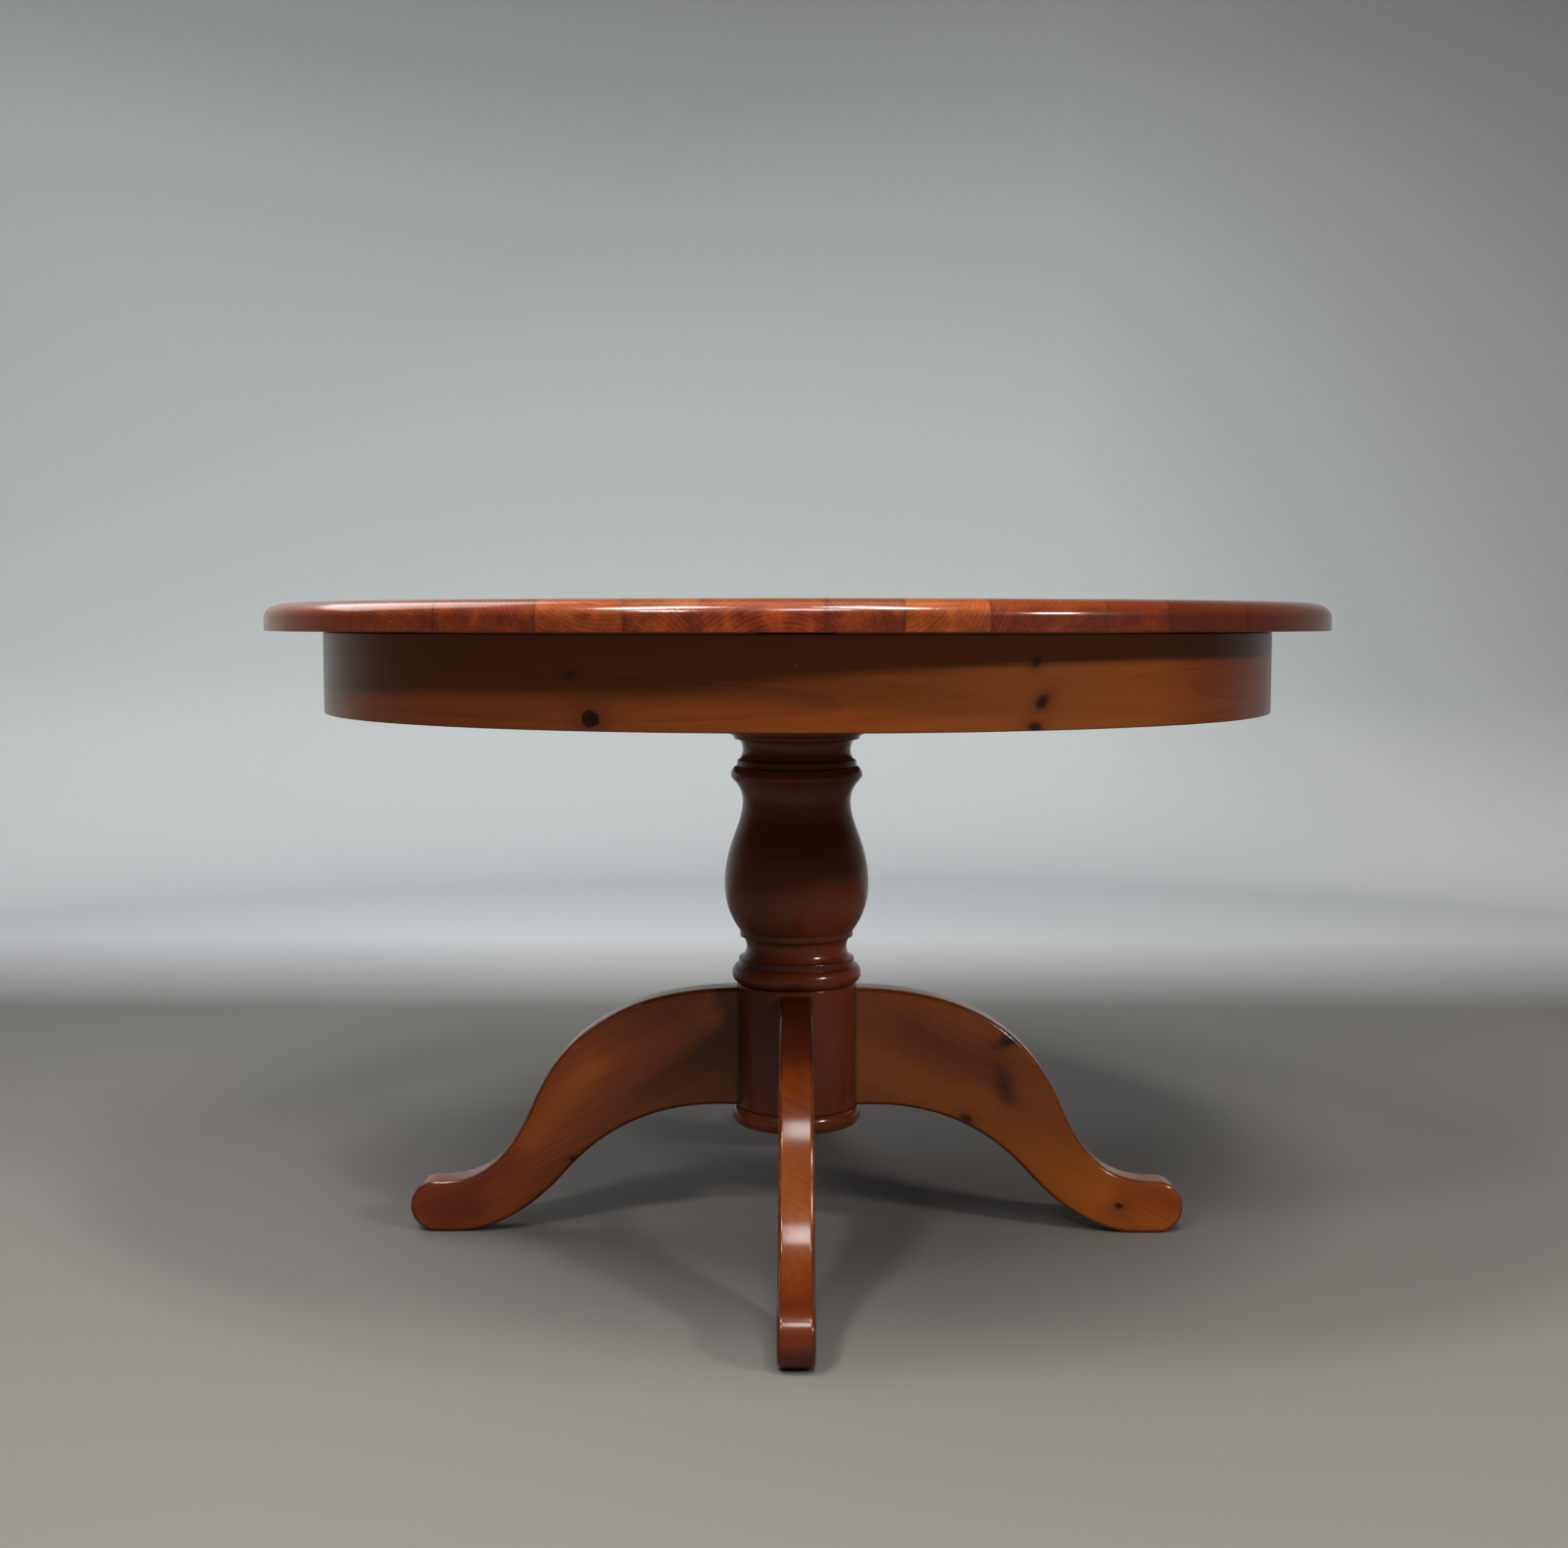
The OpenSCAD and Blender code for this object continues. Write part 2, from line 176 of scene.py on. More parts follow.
def write_grain(piece, grain_of, tone_of=lambda co: 0.0):
    """Stores each vertex's place in the wood: (along the grain, across, deep), measured from the pith,
    and its tone: how golden (above 0) or dark (below 0) it is painted there, from the stain, and on the apron
    and legs in places from painted light and painted shade."""
    mesh = piece.data
    write_values(mesh, "grain", "FLOAT_VECTOR", [grain_of(vertex.co) for vertex in mesh.vertices])
    write_values(mesh, "tone", "FLOAT", [tone_of(vertex.co) for vertex in mesh.vertices])


def write_edge(piece, edge_of):
    """Stores how worn each vertex is: 1 on an arris, 0 on a face, below 0 in a groove."""
    mesh = piece.data
    write_values(mesh, "edge", "FLOAT", [edge_of(vertex.co) for vertex in mesh.vertices])


def revolve(profile, steps):
    """A bmesh of rings of `steps` vertices, one per (radius, height) in profile, and the rings."""
    bm = bmesh.new()
    rings = []
    for radius, height in profile:
        ring = []
        for i in range(steps):
            a = 2 * math.pi * i / steps
            ring.append(bm.verts.new((radius * math.cos(a), radius * math.sin(a), height)))
        rings.append(ring)
    for low, high in zip(rings, rings[1:]):
        bridge(bm, low, high)
    return bm, rings


def bridge(bm, low, high, closed=True):
    """Faces between two rows of vertices, which are rings if closed."""
    count = len(low)
    for i in range(count if closed else count - 1):
        j = (i + 1) % count
        bm.faces.new((low[i], low[j], high[j], high[i]))


# ---------------------------------------------------------------- material building


class Tree:
    """Short names for building a material's nodes. An input is a number, a tuple or another node's socket."""

    def __init__(self, name):
        self.material = bpy.data.materials.new(name)
        self.material.use_nodes = True
        self.tree = self.material.node_tree
        self.shader = self.tree.nodes["Principled BSDF"]

    def put(self, socket, value):
        if isinstance(value, bpy.types.NodeSocket):
            self.tree.links.new(value, socket)
        else:
            socket.default_value = value

    def node(self, kind, inputs=(), **settings):
        made = self.tree.nodes.new(kind)
        for key, value in settings.items():
            setattr(made, key, value)
        for key, value in dict(inputs).items():
            self.put(made.inputs[key], value)
        return made

    def math(self, operation, a, b=0.0):
        return self.node("ShaderNodeMath", {0: a, 1: b}, operation=operation).outputs[0]

    def vector(self, operation, a, b=(0, 0, 0)):
        made = self.node("ShaderNodeVectorMath", {0: a, 1: b}, operation=operation)
        return made.outputs["Value" if operation in ("LENGTH", "DOT_PRODUCT") else "Vector"]

    def ramp(self, value, stops):
        """A ramp of greys; stops: (position, grey)."""
        made = self.node("ShaderNodeValToRGB", {0: value})
        while len(made.color_ramp.elements) < len(stops):
            made.color_ramp.elements.new(0.5)
        for element, (position, grey) in zip(made.color_ramp.elements, stops):
            element.position = position
            element.color = (grey, grey, grey, 1)
        return made.outputs[0]

    def spread(self, value, low, high, to_low=0.0, to_high=1.0):
        """value, moved from the range low..high to to_low..to_high and clamped."""
        made = self.node(
            "ShaderNodeMapRange", {0: value, 1: low, 2: high, 3: to_low, 4: to_high}, clamp=True
        )
        return made.outputs[0]

    def noise(self, place, scale, detail=2.0, rough=0.5, output="Fac", stretch=None):
        """Noise at `scale` cells a metre; stretch scales the three axes of place first."""
        if stretch:
            place = self.vector("MULTIPLY", place, stretch)
        inputs = {"Vector": place, "Scale": scale, "Detail": detail, "Roughness": rough}
        return self.node("ShaderNodeTexNoise", inputs).outputs[output]

    def mix(self, share, a, b):
        """The colour a, mixed with b by share. An input is a number, a colour or a socket."""
        made = self.node("ShaderNodeMix", data_type="RGBA")
        for index, value in ((0, share), (6, a), (7, b)):
            plain = isinstance(value, tuple) and len(value) == 3
            self.put(made.inputs[index], (*value, 1) if plain else value)
        return made.outputs[2]

    def attribute(self, name, output="Fac"):
        return self.node("ShaderNodeAttribute", attribute_name=name).outputs[output]


BEND_REACH = 0.42  # the pull fades within 1 / BEND_REACH knot radii
BEND_PUSH = 1.1  # the furthest push, in knot radii


def bend_round(t, across, dc, far, radius):
    """The place across the grain, pushed aside so that the rings flow round a knot, and the pull, 0 to 1.
    dc is the distance across from the knot's heart, far the distance from it in knot radii."""
    fade = t.math("POWER", t.math("MULTIPLY", far, BEND_REACH), 2)
    pull = t.math("POWER", math.e, t.math("MULTIPLY", fade, -1))
    side = t.spread(t.math("DIVIDE", dc, radius), -1, 1, -1, 1)
    push = t.math("MULTIPLY", t.math("MULTIPLY", side, pull), t.math("MULTIPLY", radius, BEND_PUSH))
    return t.math("SUBTRACT", across, push), pull


def centred(t, noise, amount):
    """Noise from 0 to 1, made to swing evenly about 0."""
    return t.math("MULTIPLY", t.math("SUBTRACT", noise, 0.5), amount)


def knotted(t, grain, knots):
    """Bends the grain round each knot. Returns the bent place, the knots' dark wood and the halo round it."""
    along, across, deep = t.node("ShaderNodeSeparateXYZ", {0: grain}).outputs
    bent, core, halo = across, 0.0, 0.0
    ragged = t.math("ADD", centred(t, t.noise(grain, 75, 3), 1.5), centred(t, t.noise(grain, 380, 2), 0.5))
    for knot_along, knot_across, radius, stretch, turn, soft, depth in knots:
        c, s = math.cos(math.radians(turn)), math.sin(math.radians(turn))
        da = t.math("SUBTRACT", along, knot_along)
        dc = t.math("SUBTRACT", across, knot_across)
        u = t.math("ADD", t.math("MULTIPLY", da, c), t.math("MULTIPLY", dc, s))
        v = t.math("SUBTRACT", t.math("MULTIPLY", dc, c), t.math("MULTIPLY", da, s))
        u = t.math("DIVIDE", u, radius * stretch)
        v = t.math("DIVIDE", v, radius / stretch)
        far = t.math("SQRT", t.math("ADD", t.math("MULTIPLY", u, u), t.math("MULTIPLY", v, v)))
        far = t.math("ADD", far, t.math("MULTIPLY", ragged, 0.4 + soft))
        bent, pull = bend_round(t, bent, dc, far, radius)
        here = t.math("MULTIPLY", t.spread(far, 1 + soft, 1 - soft), depth)
        core = t.math("MAXIMUM", core, here)
        halo = t.math("MAXIMUM", halo, t.math("MULTIPLY", pull, 0.55 * depth))
    place = t.node("ShaderNodeCombineXYZ", {0: along, 1: bent, 2: deep}).outputs[0]
    return place, core, halo


KNOTLESS = 0.42  # the share of cells without a knot


def scattered(t, grain, cell, size):
    """The same for knots strewn at random, one at most in each `cell` (along, across), `size` the largest."""
    along, across, deep = t.node("ShaderNodeSeparateXYZ", {0: grain}).outputs
    flat = t.vector("MULTIPLY", grain, (1 / cell[0], 1 / cell[1], 0))
    cells = t.node("ShaderNodeTexVoronoi", {"Vector": flat, "Scale": 1.0}, voronoi_dimensions="2D")
    away = t.vector("SUBTRACT", flat, cells.outputs["Position"])
    away = t.vector("MULTIPLY", away, (cell[0], cell[1], 0))
    da, dc, _ = t.node("ShaderNodeSeparateXYZ", {0: away}).outputs
    luck, pick, _ = t.node("ShaderNodeSeparateXYZ", {0: cells.outputs["Color"]}).outputs
    radius = t.spread(luck, 0, 1, 0.35 * size, size)
    far = t.math("DIVIDE", t.vector("LENGTH", away), radius)
    far = t.math("ADD", far, centred(t, t.noise(grain, 80, 3), 0.9))
    chosen = t.math("GREATER_THAN", pick, KNOTLESS)
    bent, pull = bend_round(t, across, dc, far, radius)
    bent = t.node("ShaderNodeMix", {0: chosen, 2: across, 3: bent}, data_type="FLOAT").outputs[0]
    core = t.math("MULTIPLY", t.spread(far, 1.15, 0.85), chosen)
    halo = t.math("MULTIPLY", t.math("MULTIPLY", pull, 0.6), chosen)
    place = t.node("ShaderNodeCombineXYZ", {0: along, 1: bent, 2: deep}).outputs[0]
    return place, core, halo


def growth(t, place, spacing):
    """Late wood of the growth rings, `spacing` apart, from 0 to 1, and the ring's number as a socket."""
    slow = t.vector("SUBTRACT", t.noise(place, 1.0, 2, 0.5, "Color", (0.9, 5, 5)), (0.5, 0.5, 0.5))
    quick = t.vector("SUBTRACT", t.noise(place, 1.0, 2, 0.6, "Color", (7, 55, 55)), (0.5, 0.5, 0.5))
    place = t.vector("ADD", place, t.vector("MULTIPLY", slow, (0, 0.030, 0.030)))
    place = t.vector("ADD", place, t.vector("MULTIPLY", quick, (0, 0.0022, 0.0022)))
    years = t.math("DIVIDE", t.vector("LENGTH", t.vector("MULTIPLY", place, (0, 1, 1))), spacing)
    year = t.math("FRACT", years)
    late = t.ramp(year, [(0.0, 0.12), (0.12, 0.0), (0.55, 0.25), (0.86, 1.0), (0.95, 0.9), (1.0, 0.12)])
    strength = t.node("ShaderNodeTexNoise", {"W": years, "Scale": 0.43, "Detail": 2}, noise_dimensions="1D")
    return t.math("MULTIPLY", late, t.spread(strength.outputs[0], 0.3, 0.7, 0.35, 1.15)), years


FIBRE = (0.02, 0.006, 0.003)  # the dark of the fibres
DUST_AND_SHADE = (0.02, 0.006, 0.004)  # and of the joints and grooves: dust, and in the column's grooves also painted shade


def pine(name, look, knots=(), strewn=None, grain=None, end_axis=None):
    """Stained, varnished pine. look holds its colours and finish. knots are set one by one, strewn at random.
    grain makes the socket with the place in the wood, which pieces made here carry as an attribute instead.
    end_axis is the grain's direction where end grain shows."""
    t = Tree(name)
    own_mesh = grain is None
    grain = t.attribute("grain", "Vector") if own_mesh else grain(t)
    place, core, halo = grain, 0.0, 0.0
    if knots:
        place, core, halo = knotted(t, grain, knots)
    if strewn:
        place, core, halo = scattered(t, grain, *strewn)
    late, years = growth(t, place, look["ring"])

    # Fibres, streaks, and broad zones where the stain took unevenly
    fibre = t.noise(grain, 1.0, 3, 0.65, "Fac", (22, 1500, 1500))
    streak = t.noise(place, 1.0, 3, 0.6, "Fac", (4, 120, 120))
    blotch = t.noise(grain, 1.0, 3, 0.55, "Fac", look["zone"])
    zone = t.noise(grain, 1.0, 2, 0.5, "Fac", tuple(0.45 * v + 0.1 for v in look["zone"]))
    end = 0.0
    if end_axis:
        normal = t.node("ShaderNodeNewGeometry").outputs["Normal"]
        end = t.spread(t.math("ABSOLUTE", t.vector("DOT_PRODUCT", normal, end_axis)), 0.45, 0.95)
        core = t.math("MULTIPLY", core, t.math("SUBTRACT", 1.0, end))
        halo = t.math("MULTIPLY", halo, t.math("SUBTRACT", 1.0, end))

    colour = t.mix(t.math("MULTIPLY", late, look["contrast"]), look["light"], look["dark"])
    colour = t.mix(t.spread(zone, 0.5, 0.66, 0, look["glow"]), colour, look["warm"])
    colour = t.mix(t.spread(zone, 0.5, 0.36, 0, look["flush"]), colour, look["red"])
    colour = t.mix(t.spread(streak, 0.35, 0.75, 0, look["streak"]), colour, look["red"])
    colour = t.mix(t.spread(blotch, 0.45, 0.72, 0, look["blotch"]), colour, look["dark"])
    colour = t.mix(t.spread(fibre, 0.3, 0.7, look["fibre"], 0.0), colour, FIBRE)
    if end_axis:
        colour = end_grain(t, look, grain, late, years, colour, end)
    # The tone: the stain's, and in places on the apron and legs painted light and painted shade
    if own_mesh:
        tone = t.attribute("tone")
        colour = t.mix(t.spread(tone, 0, 1, 0, 0.55), colour, look["warm"])
        colour = t.mix(t.spread(tone, 0, -1.6, 0, 0.88), colour, look["dark"])
    if knots or strewn:
        colour = t.mix(halo, colour, look["dark"])
        heart = t.spread(t.noise(grain, 240, 2), 0.35, 0.7, 0, 0.6)
        colour = t.mix(core, colour, t.mix(heart, (0.014, 0.005, 0.005), look["knot"]))

    height = t.math("ADD", t.math("MULTIPLY", late, 0.35), t.math("MULTIPLY", fibre, 0.5))
    rough = t.math("ADD", look["rough"], t.math("MULTIPLY", blotch, 0.10))
    if own_mesh:
        edge = t.attribute("edge")
        patchy = t.spread(t.noise(grain, 1.0, 3, 0.6, "Fac", (40, 200, 200)), 0.38, 0.62, 0.35, 1.0)
        rubbed = t.math("MULTIPLY", t.spread(edge, 0.2, 1.0), t.math("MULTIPLY", patchy, look["wear"]))
        colour = t.mix(rubbed, colour, look["edge"])
        # Dark joints and grooves; in the column's grooves partly painted shade
        colour = t.mix(t.spread(edge, 0.0, -1.0, 0, look["groove"]), colour, DUST_AND_SHADE)
        nicks, scratch = dings(t, grain, look["nicks"])
        colour = t.mix(t.math("MULTIPLY", nicks, 0.7), colour, look["worn"])
        colour = t.mix(t.math("MULTIPLY", scratch, 0.45), colour, look["worn"])
        height = t.math("SUBTRACT", height, t.math("MULTIPLY", t.math("ADD", nicks, scratch), 1.5))
        rough = t.math("ADD", rough, t.math("MULTIPLY", nicks, 0.3))
    bump = t.node("ShaderNodeBump", {"Strength": look["bump"], "Distance": 0.0002, "Height": height})

    t.put(t.shader.inputs["Base Color"], colour)
    t.put(t.shader.inputs["Roughness"], rough)
    t.put(t.shader.inputs["Normal"], bump.outputs[0])
    t.put(t.shader.inputs["Coat Weight"], look["coat"])
    t.put(t.shader.inputs["Coat Roughness"], look["coat_rough"])
    t.put(t.shader.inputs["Coat IOR"], 1.45)
    t.put(t.shader.inputs["Specular IOR Level"], look["under_shine"])
    return t.material


def end_grain(t, look, grain, late, years, colour, end):
    """End grain drinks more stain: redder, with dark groups of rings, cloudy patches and open tubes."""
    groups = t.node("ShaderNodeTexNoise", {"W": years, "Scale": 0.16, "Detail": 2}, noise_dimensions="1D")
    heart = t.spread(groups.outputs[0], 0.46, 0.6, 0, 0.55)
    cloud = t.noise(grain, 1.0, 3, 0.6, "Fac", (6, 42, 42))
    tubes = t.noise(grain, 1.0, 2, 0.6, "Fac", (60, 1300, 1300))
    cut = t.mix(look["end_dark"], colour, look["end_red"])
    cut = t.mix(t.math("MULTIPLY", late, 0.7), cut, look["dark"])
    cut = t.mix(heart, cut, look["dark"])
    cut = t.mix(t.spread(cloud, 0.52, 0.66, 0, 0.75), cut, look["dark"])
    cut = t.mix(t.spread(cloud, 0.48, 0.3, 0, 0.7), cut, look["end_warm"])
    cut = t.mix(t.spread(tubes, 0.5, 0.75, 0, 0.4), cut, (0.03, 0.008, 0.004))
    return t.mix(end, colour, cut)


def marked(t, cells, share):
    """1 in a random share of the Voronoi cells, 0 in the others."""
    luck = t.node("ShaderNodeSeparateXYZ", {0: cells.outputs["Color"]}).outputs[0]
    return t.math("GREATER_THAN", luck, 1 - share)


def dings(t, grain, amount):
    """Sparse small dents and fine scratches, each from 0 to 1."""
    cells = t.node("ShaderNodeTexVoronoi", {"Vector": grain, "Scale": 42})
    chosen = marked(t, cells, amount)
    nicks = t.math("MULTIPLY", t.spread(cells.outputs["Distance"], 0.075, 0.03), chosen)
    turn = {"Vector": grain, "Rotation": (0.3, 0.9, 0.5), "Scale": (9, 260, 260)}
    tilted = t.node("ShaderNodeMapping", turn)
    lines = t.node("ShaderNodeTexVoronoi", {"Vector": tilted.outputs[0], "Scale": 1.0})
    picked = marked(t, lines, amount * 0.35)
    scratch = t.math("MULTIPLY", t.spread(lines.outputs["Distance"], 0.22, 0.08), picked)
    return nicks, scratch


# ---------------------------------------------------------------- the looks of each wood

# light, dark and red are the stained wood's colours, warm its golden zones, knot its knots, edge the grime on
# its arrises and worn the bare wood in dents. ring is the rings' spacing in metres, zone the broad zones'
# cells a metre along, across and deep, and nicks the share of places with a dent. contrast, streak, blotch,
# glow, flush, fibre, wear and groove say how strong each effect is. The others are the varnish.
STAINED = {
    "light": (0.27, 0.070, 0.013),
    "dark": (0.080, 0.015, 0.005),
    "red": (0.175, 0.034, 0.009),
    "warm": (0.34, 0.125, 0.022),
    "knot": (0.050, 0.012, 0.006),
    "edge": (0.030, 0.008, 0.004),
    "worn": (0.42, 0.22, 0.08),
    "ring": 0.0042,
    "contrast": 0.35,
    "streak": 0.45,
    "blotch": 0.35,
    "zone": (3.5, 14, 14),
    "glow": 0.6,
    "flush": 0.55,
    "fibre": 0.36,
    "wear": 0.5,
    "groove": 0.75,
    "nicks": 0.04,
    "rough": 0.36,
    "under_shine": 0.12,
    "coat": 0.85,
    "coat_rough": 0.16,
    "bump": 0.30,
}
TOP = dict(
    STAINED,
    light=(0.27, 0.066, 0.013),
    dark=(0.062, 0.011, 0.004),
    end_red=(0.150, 0.021, 0.006),
    end_warm=(0.30, 0.066, 0.012),
    end_dark=0.6,
    contrast=0.55,
    wear=0.6,
    groove=0.35,
    nicks=0.05,
    coat_rough=0.14,
)
APRON = dict(STAINED, ring=0.0034, contrast=0.36, streak=0.55, zone=(2.4, 18, 18), nicks=0.03, coat=0.55)
TURNED = dict(
    STAINED,
    light=(0.185, 0.042, 0.009),
    warm=(0.22, 0.066, 0.012),
    ring=0.0036,
    contrast=0.25,
    glow=0.4,
    groove=0.4,
    nicks=0.015,
    coat=0.7,
)
LEG = dict(
    STAINED,
    light=(0.29, 0.072, 0.010),
    warm=(0.38, 0.125, 0.014),
    ring=0.0056,
    contrast=0.36,
    zone=(4.0, 26, 26),
    glow=0.5,
    flush=0.5,
    nicks=0.03,
    coat=0.72,
)
BARE = dict(
    STAINED,
    light=(0.62, 0.38, 0.17),
    dark=(0.36, 0.16, 0.055),
    red=(0.52, 0.27, 0.11),
    warm=(0.68, 0.46, 0.23),
    knot=(0.16, 0.06, 0.025),
    contrast=0.5,
    rough=0.62,
    under_shine=0.4,
    coat=0.0,
    bump=0.5,
)
BEECH = dict(BARE, light=(0.66, 0.42, 0.24), dark=(0.50, 0.27, 0.14), ring=0.002, contrast=0.3)


HIDDEN_PITH = (0.0, 0.03, -0.56)  # moves the pith of the pieces under the top away from their middle


def lengthwise(axis):
    """The place in the wood of a CAD node that keeps its own mesh; the grain runs along `axis`."""
    turn = {"X": (0, 0, 0), "Y": (0, 0, -90)}[axis]

    def grain(t):
        place = t.node("ShaderNodeTexCoord").outputs["Object"]
        turned = t.node("ShaderNodeMapping", {"Vector": place, "Location": HIDDEN_PITH})
        turned.inputs["Rotation"].default_value = [math.radians(a) for a in turn]
        return turned.outputs[0]

    return grain


def steel():
    """Zinc-plated steel, a little cloudy."""
    t = Tree("zinc_steel")
    place = t.node("ShaderNodeTexCoord").outputs["Object"]
    cloud = t.noise(place, 260, 3, 0.6)
    grain = t.noise(place, 2200, 1)
    colour = t.mix(t.spread(cloud, 0.3, 0.7), (0.50, 0.50, 0.49), (0.66, 0.65, 0.62))
    t.put(t.shader.inputs["Base Color"], colour)
    t.put(t.shader.inputs["Roughness"], t.spread(cloud, 0.3, 0.7, 0.28, 0.46))
    t.put(t.shader.inputs["Metallic"], 1.0)
    bump = t.node("ShaderNodeBump", {"Strength": 0.15, "Distance": 0.0001, "Height": grain})
    t.put(t.shader.inputs["Normal"], bump.outputs[0])
    return t.material


# ---------------------------------------------------------------- top


def board_edges():
    """The x of each joint between two boards, and of the top's two ends."""
    return [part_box(name)[0].x for name in BOARDS] + [TOP_HIGH.y]


# How golden (above 0) or dark (below 0) each board is, from left to right
BOARD_TONES = [-0.6, -0.6, -0.4, -0.2, 0.15, 0.05, 0.0, -0.5, 0.1, -0.6, -0.9, -1.6, -1.6, -1.5]


def build_top(material):
    """Cuts one finely turned disc into its boards. Each board keeps a hairline joint with eased arrises."""
    low = TOP_LOW.z
    side_top = TOP_HIGH.z - EDGE_ROUND_H
    profile = softened([(TOP_R - 3 * UNDER_ARRIS, low), (TOP_R, low), (TOP_R, side_top)], UNDER_ARRIS)
    crown = (TOP_R - EDGE_ROUND_W, TOP_HIGH.z)
    fullness = (0.70 * EDGE_ROUND_H, 0.50 * EDGE_ROUND_W)
    handles = ((TOP_R, side_top + fullness[0]), (crown[0] + fullness[1], crown[1]))
    profile += curve((TOP_R, side_top), *handles, crown, 24)[1:] + [crown]
    disc, rings = revolve(profile, TOP_STEPS)
    disc.faces.new(list(reversed(rings[0])))
    disc.faces.new(rings[-1])

    edges = board_edges()
    luck = random.Random(11)
    for i, name in enumerate(BOARDS):
        bm = disc.copy()
        cuts = []
        if i > 0:
            cuts.append((edges[i] + JOINT_GAP, -1))
        if i < len(BOARDS) - 1:
            cuts.append((edges[i + 1] - JOINT_GAP, 1))
        for x, side in cuts:
            cut_board(bm, x, side)
        piece = make_piece(name, bm, material)
        middle = (edges[i] + edges[i + 1]) / 2
        pith_x = middle + luck.choice((-1, 1)) * luck.uniform(8, 75) * MM
        pith_z = (TOP_LOW.z + TOP_HIGH.z) / 2 + luck.choice((-1, -1, 1)) * luck.uniform(28, 90) * MM
        slope = luck.uniform(-0.03, 0.03)
        offset = 3.1 * i + luck.uniform(0, 1)
        write_grain(
            piece,
            lambda co: (co.y + offset, co.x - pith_x + slope * co.y, co.z - pith_z + 0.6 * slope * co.y),
            lambda co, tone=BOARD_TONES[i] + luck.uniform(-0.25, 0.25): tone,
        )
        write_edge(piece, lambda co: board_wear(co, [x for x, _ in cuts]))
    disc.free()


def cut_board(bm, x, side):
    """Removes what lies beyond the plane at x on that side, closes the cut and eases its arrises."""
    cut = bmesh.ops.bisect_plane(
        bm,
        geom=bm.verts[:] + bm.edges[:] + bm.faces[:],
        dist=1e-7,
        plane_co=(x, 0, 0),
        plane_no=(side, 0, 0),
        clear_outer=True,
    )
    rim = [e for e in cut["geom_cut"] if isinstance(e, bmesh.types.BMEdge)]
    bmesh.ops.contextual_create(bm, geom=rim)
    rim = [e for e in bm.edges if all(abs(v.co.x - x) < 1e-6 for v in e.verts)]
    bmesh.ops.bevel(
        bm, geom=rim, offset=JOINT_ARRIS, segments=2, profile=0.5, affect="EDGES", clamp_overlap=True
    )


def board_wear(co, cuts):
    """A board is dark in its joints, where x is one of cuts, and worn on the lower arris of the rim."""
    if any(abs(co.x - x) < NEAR for x in cuts):
        return -1.0
    on_edge = math.hypot(co.x, co.y) > TOP_R - UNDER_ARRIS - NEAR
    on_arris = NEAR / 2 < co.z - TOP_LOW.z < UNDER_ARRIS - NEAR
    return 1.0 if on_edge and on_arris else 0.0


# ---------------------------------------------------------------- apron

APRON_PITH_UP = 0.030  # how far the bent board's pith lies above its lower edge
APRON_PITH_DEEP = 0.062  # and inside its outer face
BACK_OFFSET = 5  # how far along the grain the back half's wood lies from the front half's
APRON_TONE = 0.35
APRON_GOLD_AND_PAINTED_LIGHT = 0.30  # how much more golden it is on the right of the front: partly the stain, partly painted light of the lamps on the right
APRON_END_PAINTED_SHADE = 1.8  # how much darker the painted shade at the right end makes it
# where that painted shade starts, in x
END_SHADE_FROM = 0.34
# and the distance over which it grows by the amount above
END_SHADE_OVER = 0.15


def build_apron(material):
    """Two half rings of bent board that meet at the left and right ends."""
    low, high = APRON_LOW.z, APRON_HIGH.z
    inner = APRON_R - APRON_T
    middle = (low + high) / 2
    corners = [(inner, low), (APRON_R, low), (APRON_R, high), (inner, high)]
    section = softened([(inner, middle)] + corners + [(inner, high - 2 * MM)], APRON_ARRIS)
    for name, start in (("apron_front", 180), ("apron_back", 0)):
        bm = bmesh.new()
        rows = []
        for i in range(APRON_STEPS + 1):
            a = math.radians(start + 180 * i / APRON_STEPS)
            rows.append([bm.verts.new((r * math.cos(a), r * math.sin(a), z)) for r, z in section])
        for here, there in zip(rows, rows[1:]):
            bridge(bm, here, there)
        bm.faces.new(list(reversed(rows[0])))
        bm.faces.new(rows[-1])
        ends = [e for e in bm.edges if any(len(f.verts) > 4 for f in e.link_faces)]
        bmesh.ops.bevel(
            bm, geom=ends, offset=0.4 * MM, segments=2, profile=0.5, affect="EDGES", clamp_overlap=True
        )
        piece = make_piece(name, bm, material)
        front = start == 180

        def grain_of(co, front=front):
            angle = math.atan2(co.x, -co.y) if front else math.atan2(-co.x, co.y)
            along = APRON_R * angle + (0 if front else BACK_OFFSET)
            return (along, apron_across(co.z), math.hypot(co.x, co.y) - APRON_R + APRON_PITH_DEEP)

        write_grain(piece, grain_of, apron_tone)
        write_edge(piece, apron_wear)


def apron_across(z):
    """The place across the grain of the apron at the height z."""
    return z - APRON_LOW.z - APRON_PITH_UP


def apron_tone(co):
    """More golden on the right of the front, partly the stain and partly painted light; on both halves darker
    at the right end, which is painted shade.
    """
    tone = APRON_TONE
    if co.y < 0:
        # more golden on the right: partly stain, partly painted light
        tone += APRON_GOLD_AND_PAINTED_LIGHT * progress(co.x, -0.05, 0.25)
    # painted shade at the right end of both halves
    return tone - APRON_END_PAINTED_SHADE * max(0.0, (co.x - END_SHADE_FROM) / END_SHADE_OVER)


def apron_wear(co):
    """The apron is dark at its end joints and worn on the lower outer arris."""
    if abs(co.y) < 2 * NEAR:
        return -1.0
    above = co.z - APRON_LOW.z
    inside = APRON_R - math.hypot(co.x, co.y)
    return 1.0 if all(NEAR / 2 < gap < APRON_ARRIS - NEAR for gap in (above, inside)) else 0.0


# ---------------------------------------------------------------- column and its base cap


